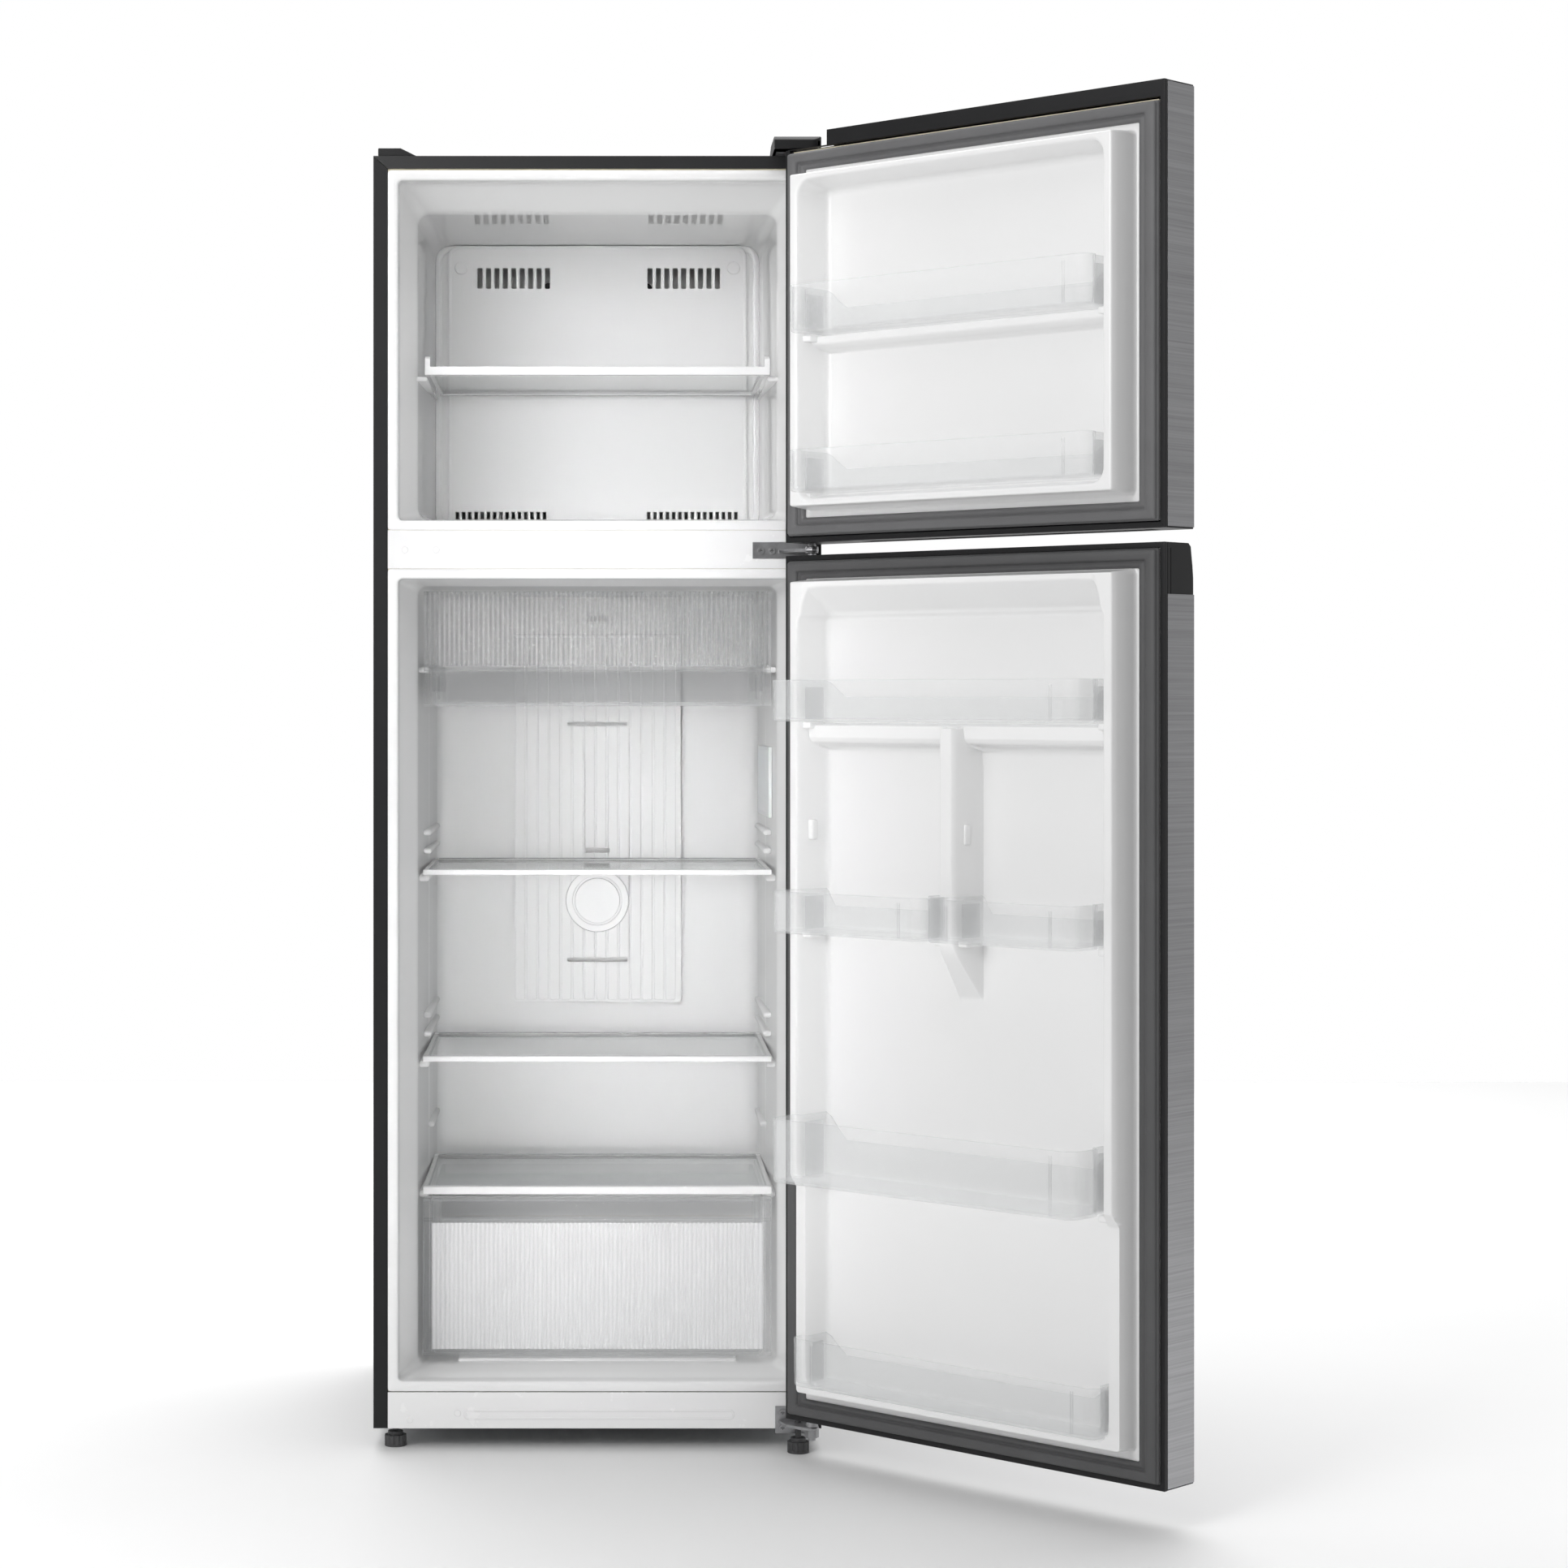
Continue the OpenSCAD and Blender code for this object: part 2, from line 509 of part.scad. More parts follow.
// ---------- shelves ----------
module shelf_glass(z, y0, y1, w, t) color(clear) blk([-w + 4, y0 + 6, z - t], [w - 4, y1 - 4, z]);
module shelf_trim(z, y0, y1, w, t) color(white) difference() {
    union() {
        yz(-w, w) polygon([[y0, z - t - 1.2], [y0 + 1.5, z - t - 2], [y0 + 14, z - t - 2], [y0 + 16, z - t - 1.6], [y0 + 16, z + 1.2], [y0 + 6, z + 1.5], [y0 + 1.5, z + 1.5], [y0, z + 0.5]]);
        blk([-w, y1 - 12, z - t - 2], [w, y1, z + 2]);
        both() blk([w - 6, y0 + 12, z - t - 2], [w, y1 - 8, z + 1.2]);
    }
    blk([-w + 4, y0 + 6, z - t], [w - 4, y1 - 4, z]);
}
module freezer_shelf_glass() shelf_glass(z_freezer, 78, 400, 227.5, glass_t);
module freezer_shelf_trim() color(white) union() {
    shelf_trim(z_freezer, 78, 400, 227.5, glass_t);
    difference() {
        union() {
            blk([-233, 76, z_freezer - 6.5], [233, 90, z_freezer + 4.5]);
            // raised ends of the front bar
            both() yz(226, 233) polygon([[76, z_freezer - 6.5], [76, z_freezer + 15], [84, z_freezer + 19], [104, z_freezer + 6], [104, z_freezer - 6.5]]);
        }
        blk([-223.5, 84, z_freezer - glass_t], [223.5, 396, z_freezer]);
        blk([-222, 86, z_freezer], [222, 110, z_freezer + 20]);
    }
}
module upper_shelf_glass() shelf_glass(z_upper, shelf_y, shelf_y + shelf_d, shelf_hw, glass_t);
module upper_shelf_trim() shelf_trim(z_upper, shelf_y, shelf_y + shelf_d, shelf_hw, glass_t);
module middle_shelf_glass() shelf_glass(z_middle, shelf_y, shelf_y + shelf_d, shelf_hw, glass_t);
module middle_shelf_trim() shelf_trim(z_middle, shelf_y, shelf_y + shelf_d, shelf_hw, glass_t);
module crisper_cover_glass() shelf_glass(z_cover, shelf_y, shelf_y + shelf_d, shelf_hw, glass_t);
module crisper_cover_trim() color(white) union() {
    shelf_trim(z_cover, shelf_y, shelf_y + shelf_d, shelf_hw, glass_t);
    // apron below the front edge
    blk([-shelf_hw, shelf_y, z_cover - 9], [shelf_hw, shelf_y + 5, z_cover - 5]);
}

// ---------- drawers ----------
module chiller_drawer() color(clear) difference() {
    union() {
        // tray
        xy(z_chiller, 1034) polygon(rrect(-224, 224, 105.5, 440, 10));
        // tall fluted front over the full width
        blk([-236, 104, z_chiller], [236, 108, 1143]);
        blk([-236, 104, 1139], [236, 114, 1143]);
        blk([-236, 101, 1034], [236, 110, 1042]);
        // runners on the side rails
        both() blk([222, 118, 1041], [235, 440, 1044]);
        both() blk([222, 112, z_chiller + 20], [225, 440, 1044]);
        both() blk([228, 104, 990], [236, 112, 1139]);
    }
    xy(z_chiller + bk_t, 1200) polygon(rrect(-221.4, 221.4, 108, 437.4, 8));
    for (i = [0:46]) blk([-230 + i * 10, 101, 1050], [-225 + i * 10, 104.8, 1136]);
}
module crisper_profile(g) polygon([[114 + g, z_crisper + g], [292 - g, z_crisper + g], [306 - g, 296 + g],
    [436 - g, 302 + g], [436 - g, 330], [114 + g, 330]]);
module crisper_drawer() color(clear) difference() {
    union() {
        intersection() {
            yz(-226, 226) crisper_profile(0);
            blk([-300, 0, 0], [300, 500, 320]);
        }
        // front panel, wider than the tray
        xz(110, 114.5) polygon(rrect(-237, 237, z_crisper, 320, 6));
        blk([-237, 107, 286], [237, 112, 291]);
        blk([-237, 104, 314], [237, 114, 320]);
        both() blk([224, 110, z_crisper + 6], [237, 120, 316]);
    }
    intersection() {
        yz(-223.2, 223.2) crisper_profile(2.8);
        blk([-300, 114.5, 0], [300, 500, 400]);
    }
    for (i = [0:56]) blk([-227 + i * 8, 107, z_crisper + 12], [-223 + i * 8, 110.9, 282]);
}

// ---------- doors ----------
// from a door's own frame to its place when open: x from the hinge edge, y inward from the inner plane
module on_door() translate([pin_x, -pin_y, 0]) rotate([0, 0, door_open]) translate([-pin_x, pin_y, 0])
    translate([hw, -door_gap, 0]) mirror([1, 0, 0]) children();
bore_a = hw - pin_x;            // the hinge axis in the door's own frame
bore_h = door_gap - pin_y;
// outline of the liner's sheet, inside the frame
module sheet(z0, z1, h0, h1) blk([7, h0, z0 + 7], [cab_w - 7, h1, z1 - 7]);
// the raised block of a door liner, drawn in by t
module rim(b, c, t, h) intersection() {
    xy(b - 1, c + 1) polygon([[41 + t, -4], [45.5 + t, h - t], [cab_w - 45.5 - t, h - t], [cab_w - 41 - t, -4]]);
    yz(0, cab_w) polygon([[-4, b + t], [h - t, b + t + 4], [h - t, c - t - 4], [-4, c - t]]);
    xz(-5, h + 1) polygon(rrect(40 + t, cab_w - 40 - t, b + t, c - t, 22));
}
// the hollow between the rims, grown by t
module pan(b0, b1, c0, c1, t, h) intersection() {
    xy(b0 - 5, c1 + 5) polygon([[66 - t, -8 - t], [58 - t, h], [58 - t, h + 9], [cab_w - 58 + t, h + 9], [cab_w - 58 + t, h], [cab_w - 66 + t, -8 - t]]);
    yz(0, cab_w) polygon([[-8 - t, b1 - t], [h, b0 - t], [h + 9, b0 - t], [h + 9, c1 + t], [h, c1 + t], [-8 - t, c0 + t]]);
    xz(-12 - t, h + 10) polygon(rrect(58 - t, cab_w - 58 + t, b0 - t, c1 + t, 20));
}
// the whole relief of the freezer door's liner: rims, pan and the ledge under the upper basket
module fz_relief(t, back) difference() {
    union() {
        sheet(fzd_z0, fzd_z1 - 14, -back, -t);
        rim(fz_z0 + 7, fz_z1 - 8, t, dyke_h);
    }
    difference() {
        pan(fz_z0 + 20, fz_z0 + 27, fz_z1 - 27, fz_z1 - 20, t, dyke_h);
        yz(0, cab_w) polygon([[-20, 1448 + t], [18 - t, 1454 + t], [20 - t, 1466 - t], [-20, 1466 - t]]);
    }
}
// the same for the fridge door: a lower rim at the foot, a ledge, and the post between two half-width baskets
module fr_relief(t, back) difference() {
    union() {
        sheet(frd_z0, frd_z1, -back, -t);
        rim(fr_z0 + 6, fr_z1 - 4, t, 30);
        rim(374, fr_z1 - 4, t, dyke_h);
    }
    difference() {
        pan(fr_z0 + 15, fr_z0 + 22, fr_z1 - 52, fr_z1 - 14, t, dyke_h);
        yz(0, cab_w) polygon([[-20, 936 + t], [16 - t, 948 + t], [22 - t, 964 - t], [-20, 964 - t]]);
        intersection() {
            xy(560, 960 - t) polygon([[281 + t, -20], [290 + t, dyke_h - t], [310 - t, dyke_h - t], [319 - t, -20]]);
            yz(0, cab_w) polygon([[-20, 606 + t], [dyke_h - t, 690 + t], [dyke_h - t, 962], [-20, 962]]);
        }
    }
}
// lugs that carry a basket's floor
module lugs(z, a0, a1, h1) for (a = [a0, a1 - 14]) blk([a, 4, z - 9], [a + 14, h1, z - 0.4]);
module fz_door_liner() color(white) on_door() difference() {
    union() {
        fz_relief(0, 12);
        lugs(1262, 58.5, cab_w - 58.5, 36);
        lugs(1466.5, 58.5, cab_w - 58.5, 36);
    }
    fz_relief(lt, 13);
}
module fr_door_liner() color(white) on_door() difference() {
    union() {
        fr_relief(0, 12);
        lugs(968, 58.5, cab_w - 58.5, 36);
        lugs(698, 58.5, 288, 36);
        lugs(698, 312, cab_w - 58.5, 36);
        lugs(380, 58.5, cab_w - 58.5, 36);
        lugs(114, 58.5, cab_w - 58.5, 24);
        // spare lugs at the height the half baskets can move to
        for (a = [58, 307, 527]) blk([a, 12, 814], [a + 10, 26, 842]);
    }
    fr_relief(lt, 13);
}
module door_foam(z0, z1) intersection() {
    blk([0.9, -door_t + 0.9, z0], [cab_w - 0.9, 100, z1]);
    children();
}
module fz_door_foam() color(foam_col) on_door() difference() {
    union() {
        door_foam(fzd_z0 + 16.2, fzd_z1 - 19.2) fz_relief(lt, 13);
        intersection() {
            blk([0.9, -door_t + 0.9, fzd_z0 + 16.2], [cab_w - 0.9, -12.2, fzd_z1 - 19.2]);
            cap_block(fzd_z0, fzd_z1);
        }
    }
    fz_corner(0.2);
    // room for the top hinge's bush block
    blk([-1, -door_t - 1, fzd_z1 - 42.2], [90.2, -12.2, fzd_z1]);
    difference() { blk([0, -7.2, fzd_z0], [cab_w, 0, fzd_z1]); blk([9.2, -20, fzd_z0], [cab_w - 9.2, 9, fzd_z1]); }
}
module fr_door_foam() color(foam_col) on_door() difference() {
    union() {
        door_foam(frd_z0 + 16.2, frd_z1 - 19.2) fr_relief(lt, 13);
        intersection() {
            blk([0.9, -door_t + 0.9, frd_z0 + 16.2], [cab_w - 0.9, -12.2, frd_z1 - 19.2]);
            cap_block(frd_z0, frd_z1);
        }
    }
    // room for the grip and for the frame's pieces
    blk([-1, -door_t - 1, frd_z1 - grip_h - 34.2], [cab_w + 1, -13.8, frd_z1 + 1]);
    difference() { blk([0, -7.2, frd_z0], [cab_w, 0, frd_z1]); blk([9.2, -20, frd_z0], [cab_w - 9.2, 9, frd_z1]); }
}
// the lowered top corner of the freezer door, under the hinge
module fz_corner(g) blk([-1, -door_t - 1, fzd_z1 - 20 - g], [70 + g, 1, fzd_z1 + 1]);
// formed sheet metal: front face and both edges, with a folded inner lip
module skin(z0, z1) xy(z0, z1) difference() {
    polygon(concat([[0, -6.2]], arc([5, -door_t + 5], 5, 180, 270, 4), arc([cab_w - 5, -door_t + 5], 5, 270, 360, 4), [[cab_w, -6.2]]));
    polygon(concat([[0.8, -5]], arc([5, -door_t + 5], 4.2, 180, 270, 4), arc([cab_w - 5, -door_t + 5], 4.2, 270, 360, 4), [[cab_w - 0.8, -5]]));
}
module fz_door_skin() color(inox) on_door() difference() {
    skin(fzd_z0 + 2, fzd_z1 - 2);
    fz_corner(0.2);
}
module fr_door_skin() color(inox) on_door() skin(frd_z0 + 2, frd_z1 - grip_h);
// black frame of a door: its top and bottom pieces joined by a strip along each edge
module frame_ring(z0, z1, top = 6.8) difference() {
    blk([0.2, -6, z0], [cab_w - 0.2, 0, z1]);
    blk([6.8, -10, z0 + 6.8], [cab_w - 6.8, 10, z1 - top]);
}
module cap_block(z0, z1) intersection() {
    xy(z0, z1) polygon(concat([[0.9, 0]], arc([5.5, -door_t + 5.5], 4.6, 180, 270, 4), arc([cab_w - 5.5, -door_t + 5.5], 4.6, 270, 360, 4), [[cab_w - 0.9, 0]]));
}
module fz_door_frame() color(black) on_door() difference() {
    union() {
        difference() { frame_ring(fzd_z0, fzd_z1, 20.8); fz_corner(0); }
        // top piece with the lowered hinge corner
        difference() {
            cap_block(fzd_z1 - 19, fzd_z1);
            fz_corner(0);
            blk([60, -12.2, fzd_z1 - 30], [cab_w - 7, -6, fzd_z1 - 7]);
        }
        cap_block2(fzd_z1 - 42, fzd_z1 - 20, 90);
        blk([71, -door_t + 6, fzd_z1 - 21], [90, -14, fzd_z1 - 18]);
        // bottom piece, with a finger groove along its front
        difference() {
            cap_block(fzd_z0, fzd_z0 + 16);
            blk([100, -door_t + 12, fzd_z0 - 1], [cab_w - 40, -door_t + 34, fzd_z0 + 12]);
            blk([-1, -12.2, fzd_z0 + 7], [cab_w + 1, 1, fzd_z0 + 30]);
        }
    }
    cyl([bore_a, bore_h, fzd_z1 - 60], pin_r + pin_play, 70);
    cyl([bore_a, bore_h, fzd_z0 - 1], pin_r + pin_play, 20);
}
// the block that holds the top hinge's bush
module cap_block2(z0, z1, a1) intersection() {
    cap_block(z0, z1);
    blk([0, -door_t, z0], [a1, -12.4, z1]);
}
module fr_door_frame() color(black) on_door() difference() {
    union() {
        frame_ring(frd_z0, frd_z1);
        // bottom piece
        difference() {
            cap_block(frd_z0, frd_z0 + 16);
            blk([-1, -12.2, frd_z0 + 7], [cab_w + 1, 1, frd_z0 + 30]);
        }
        // top piece: a recessed grip with a trough behind the front panel's edge, closed by end cheeks
        intersection() {
            cap_block(frd_z1 - grip_h - 34, frd_z1);
            yz(0, cab_w) polygon([[-14, frd_z1 - grip_h - 34], [-door_t + 1, frd_z1 - grip_h - 34], [-door_t + 1, frd_z1 - grip_h],
                [-door_t, frd_z1 - grip_h + 0.2], [-door_t + 9, frd_z1 - 4], [-door_t + 14, frd_z1], [-14, frd_z1]]);
        }
        blk([0.9, -20, frd_z1 - 6.9], [cab_w - 0.9, 0, frd_z1]);
    }
    // the grip's hollow
    difference() {
        yz(60, cab_w - 12) polygon([[-34, frd_z1 + 1], [-38, frd_z1 - grip_h - 20], [-44, frd_z1 - grip_h - 28], [-56, frd_z1 - grip_h - 28],
            [-60, frd_z1 - grip_h - 20], [-60, frd_z1 - grip_h - 4], [-door_t - 2, frd_z1 - grip_h - 1], [-door_t - 2, frd_z1 + 1]]);
    }
    cyl([bore_a, bore_h, frd_z1 - 22], pin_r + pin_play, 30);
    cyl([bore_a, bore_h, frd_z0 - 1], pin_r + pin_play, 22);
}
// magnetic gasket: a ring with a soft inner lip
module gasket(z0, z1) color(rubber_grey) on_door() union() {
    xz(0.1, 6) difference() {
        polygon(rrect(7.5, cab_w - 7.5, z0 + 7.5, z1 - 7.5, 4, 3));
        polygon(rrect(36, cab_w - 36, z0 + 31, z1 - 31, 8, 3));
    }
    xz(5.9, 8.5) difference() {
        polygon(rrect(9, cab_w - 9, z0 + 9, z1 - 9, 4, 3));
        polygon(rrect(27, cab_w - 27, z0 + 24, z1 - 24, 8, 3));
    }
}
module fz_door_gasket() gasket(fzd_z0 + 1, fzd_z1 - 18);
module fr_door_gasket() gasket(frd_z0, frd_z1);

// ---------- door baskets ----------
// plan of a basket: narrow between the rims, wider in front of them, its front corners round
function bplan(n0, n1, w0, w1, h, g, r) = concat(
    [[n0 + g, -4 + g], [n0 + g, 49], [w0 + g, 53]], arc([w0 + r, h - r], r - g, 180, 90, 5),
    arc([w1 - r, h - r], r - g, 90, 0, 5), [[w1 - g, 53], [n1 - g, 49], [n1 - g, -4 + g]]);
module basket(n0, n1, w0, w1, h, z0, z1) color(clear) on_door() difference() {
    union() {
        xy(z0, z1 - 4) polygon(bplan(n0, n1, w0, w1, h, 0.8, 18));
        xy(z1 - 6, z1) polygon(bplan(n0, n1, w0, w1, h, 0, 18));
        xy(z0, z0 + 4) polygon(bplan(n0, n1, w0, w1, h, 0, 18));
    }
    xy(z0 + bk_t, z1 + 1) polygon(bplan(n0, n1, w0, w1, h, bk_t + 0.8, 18));
    // the back wall is lower than the front
    blk([n0 + 12, -20, z0 + 0.55 * (z1 - z0)], [n1 - 12, 2, z1 + 5]);
}
// a basket over a rim of the lower height
function bplan_low(h, g, r) = concat([[67 + g, -4 + g], [67 + g, 34], [58 + g, 38]], arc([58 + r, h - r], r - g, 180, 90, 5),
    arc([cab_w - 58 - r, h - r], r - g, 90, 0, 5), [[cab_w - 58 - g, 38], [cab_w - 67 - g, 34], [cab_w - 67 - g, -4 + g]]);
module fz_basket_upper() basket(67, cab_w - 67, 61, cab_w - 61, bkf_h, 1466.8, 1527);
module fz_basket_lower() basket(67, cab_w - 67, 61, cab_w - 61, bkf_h, 1262.3, 1316);
module fr_basket_top() basket(67, cab_w - 67, 58, cab_w - 58, bk_h, 968.3, 1021);
module fr_basket_left() basket(67, 279, 58.5, 306.5, bk_h, 698.3, 752);
module fr_basket_right() basket(321, cab_w - 67, 309.5, cab_w - 58, bk_h, 698.3, 752);
module fr_basket_bottle() basket(67, cab_w - 67, 58, cab_w - 58, bk_h, 380.3, 462);
module fr_basket_bottom() color(clear) on_door() difference() {
    union() {
        xy(114.3, 171) polygon(bplan_low(bkb_h, 0.8, 16));
        xy(170, 176) polygon(bplan_low(bkb_h, 0, 16));
        xy(114.3, 118.3) polygon(bplan_low(bkb_h, 0, 16));
    }
    xy(114.3 + bk_t, 182) polygon(bplan_low(bkb_h, bk_t + 0.8, 16));
    blk([80, -20, 144], [cab_w - 80, 2, 180]);
}

side_panels();
top_panel();
back_panel();
bottom_pan();
cabinet_foam();
freezer_liner();
fridge_liner();
mullion_rail();
bottom_rail();
top_hinge();
top_hinge_cover();
blank_hinge_plug();
middle_hinge();
lower_hinge();
hinge_screws();
base_plate();
roller_brackets();
compressor();
compressor_mounts();
drip_tray();
machine_cover();
cord_inlet();
evaporator();
fan_motor();
evaporator_cover();
duct_cover();
duct_cap();
lamp_cover();
fan_blade();
foot_left();
foot_right();
roller_left();
roller_right();
freezer_shelf_glass();
freezer_shelf_trim();
upper_shelf_glass();
upper_shelf_trim();
middle_shelf_glass();
middle_shelf_trim();
crisper_cover_glass();
crisper_cover_trim();
chiller_drawer();
crisper_drawer();
fz_door_skin();
fz_door_foam();
fz_door_liner();
fz_door_gasket();
fz_door_frame();
fr_door_skin();
fr_door_foam();
fr_door_liner();
fr_door_gasket();
fr_door_frame();
fz_basket_upper();
fz_basket_lower();
fr_basket_top();
fr_basket_left();
fr_basket_right();
fr_basket_bottle();
fr_basket_bottom();
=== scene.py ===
import json
import math

import bmesh
import bpy
import numpy as np
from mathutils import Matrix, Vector


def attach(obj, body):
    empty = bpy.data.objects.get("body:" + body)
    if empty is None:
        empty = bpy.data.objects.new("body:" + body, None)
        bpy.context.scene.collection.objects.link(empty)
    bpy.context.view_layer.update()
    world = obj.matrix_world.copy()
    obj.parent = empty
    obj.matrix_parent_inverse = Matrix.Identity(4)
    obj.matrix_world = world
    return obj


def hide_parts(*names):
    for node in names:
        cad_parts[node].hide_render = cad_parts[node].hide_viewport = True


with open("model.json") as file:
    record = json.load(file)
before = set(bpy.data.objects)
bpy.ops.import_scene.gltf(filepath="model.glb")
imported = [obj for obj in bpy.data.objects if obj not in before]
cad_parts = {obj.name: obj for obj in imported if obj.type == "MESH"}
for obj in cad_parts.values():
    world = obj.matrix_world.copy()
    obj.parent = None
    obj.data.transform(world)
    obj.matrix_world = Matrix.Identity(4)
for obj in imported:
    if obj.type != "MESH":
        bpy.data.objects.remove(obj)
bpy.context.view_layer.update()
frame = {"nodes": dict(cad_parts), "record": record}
NODES = frame["nodes"]
RECORD = frame["record"]
BODY_OF = {n: b for b, ns in RECORD["behaviour"]["bodies"].items() for n in ns}
SLOT_OF = {s["node"]: s["material_slot"] for s in RECORD["subparts"]}
MM = 0.001
scene = bpy.context.scene

# ------------------------------------------------------------------ sizes, in mm
CAB_W, CAB_D, CAB_TOP = 595.0, 590.0, 1718.0
OPEN_HW, LIP_Y, STEP_Y, LINER_D, LINER_HW = 264.6, 30.0, 100.0, 520.0, 243.5
FZ_Z0, FZ_Z1, FR_Z0, FR_Z1 = 1234.0, 1686.0, 90.0, 1156.5
FZD_Z0, FZD_Z1, FRD_Z0, FRD_Z1 = 1201.0, 1735.0, 54.0, 1184.0
Z_UPPER, Z_MIDDLE, Z_COVER, Z_FREEZER = 763.0, 509.0, 332.0, 1441.0
DOOR_OPEN = math.radians(136)
CO, SI = math.cos(DOOR_OPEN), math.sin(DOOR_OPEN)


def on_door(p):
    """A door's own point (a from the hinge edge, h inward, z) at its place when open."""
    a, h, z = p
    rx, ry = 15.5 - a, 35 + h
    return (282 + CO * rx - SI * ry, -45 + SI * rx + CO * ry, z)


# ------------------------------------------------------------------ materials
def material(name):
    m = bpy.data.materials.new(name)
    m.use_nodes = True
    nt = m.node_tree
    bsdf = nt.nodes["Principled BSDF"]
    tex = nt.nodes.new("ShaderNodeTexCoord")
    return m, nt, bsdf, tex


def noise(nt, tex, scale, detail=3.0, stretch=(1, 1, 1), rough=0.55):
    mp = nt.nodes.new("ShaderNodeMapping")
    mp.inputs["Scale"].default_value = stretch
    nt.links.new(tex.outputs["Object"], mp.inputs["Vector"])
    n = nt.nodes.new("ShaderNodeTexNoise")
    n.inputs["Scale"].default_value = scale
    n.inputs["Detail"].default_value = detail
    n.inputs["Roughness"].default_value = rough
    nt.links.new(mp.outputs["Vector"], n.inputs["Vector"])
    return n.outputs["Fac"]


def ramp(nt, fac, stops):
    r = nt.nodes.new("ShaderNodeValToRGB")
    while len(r.color_ramp.elements) < len(stops):
        r.color_ramp.elements.new(0.5)
    for e, (p, c) in zip(r.color_ramp.elements, stops):
        e.position = p
        e.color = (c[0], c[1], c[2], 1)
    nt.links.new(fac, r.inputs["Fac"])
    return r.outputs["Color"]


def spread(nt, fac, lo, hi):
    r = nt.nodes.new("ShaderNodeMapRange")
    r.inputs["To Min"].default_value = lo
    r.inputs["To Max"].default_value = hi
    nt.links.new(fac, r.inputs["Value"])
    return r.outputs["Result"]


def bump(nt, bsdf, fac, strength, distance):
    b = nt.nodes.new("ShaderNodeBump")
    b.inputs["Strength"].default_value = strength
    b.inputs["Distance"].default_value = distance
    nt.links.new(fac, b.inputs["Height"])
    nt.links.new(b.outputs["Normal"], bsdf.inputs["Normal"])
    return b


def shade(c, k):
    return tuple(max(0.0, min(1.0, v * k)) for v in c)


def surface(name, colour, rough, metal=0.0, var=0.03, scale=9.0, grain=900.0, bump_s=0.12, bump_d=0.00006,
            stretch=(1, 1, 1), rough_var=0.05, **sockets):
    """A moulded, painted or drawn surface: slow colour drift, fine grain in the bump, uneven gloss."""
    m, nt, b, tex = material(name)
    slow = noise(nt, tex, scale, 4.0, stretch)
    nt.links.new(ramp(nt, slow, [(0.3, shade(colour, 1 - var)), (0.7, shade(colour, 1 + var))]), b.inputs["Base Color"])
    fine = noise(nt, tex, grain, 2.0, stretch)
    nt.links.new(spread(nt, noise(nt, tex, scale * 3.7, 5.0, stretch), max(rough - rough_var, 0.01), rough + rough_var), b.inputs["Roughness"])
    bump(nt, b, fine, bump_s, bump_d)
    b.inputs["Metallic"].default_value = metal
    for k, v in sockets.items():
        b.inputs[k.replace("_", " ")].default_value = v
    return m


def brushed(name, colour, rough, stretch, metal=1.0, streak=0.22):
    """Brushed sheet: long fine streaks in colour, gloss and bump."""
    m, nt, b, tex = material(name)
    lines = noise(nt, tex, 1.0, 8.0, stretch, 0.7)
    fine = noise(nt, tex, 1.0, 3.0, tuple(v * 2.6 for v in stretch), 0.6)
    slow = noise(nt, tex, 2.2, 2.0)
    mix = nt.nodes.new("ShaderNodeMath")
    mix.operation = "MULTIPLY_ADD"
    nt.links.new(slow, mix.inputs[0])
    mix.inputs[1].default_value = 0.35
    nt.links.new(lines, mix.inputs[2])
    nt.links.new(ramp(nt, mix.outputs[0], [(0.42, shade(colour, 1 - streak)), (0.62, colour), (0.85, shade(colour, 1 + streak))]), b.inputs["Base Color"])
    nt.links.new(spread(nt, fine, rough - 0.08, rough + 0.1), b.inputs["Roughness"])
    bump(nt, b, lines, 0.25, 0.00006)
    b.inputs["Metallic"].default_value = metal
    b.inputs["Anisotropic"].default_value = 0.6
    return m


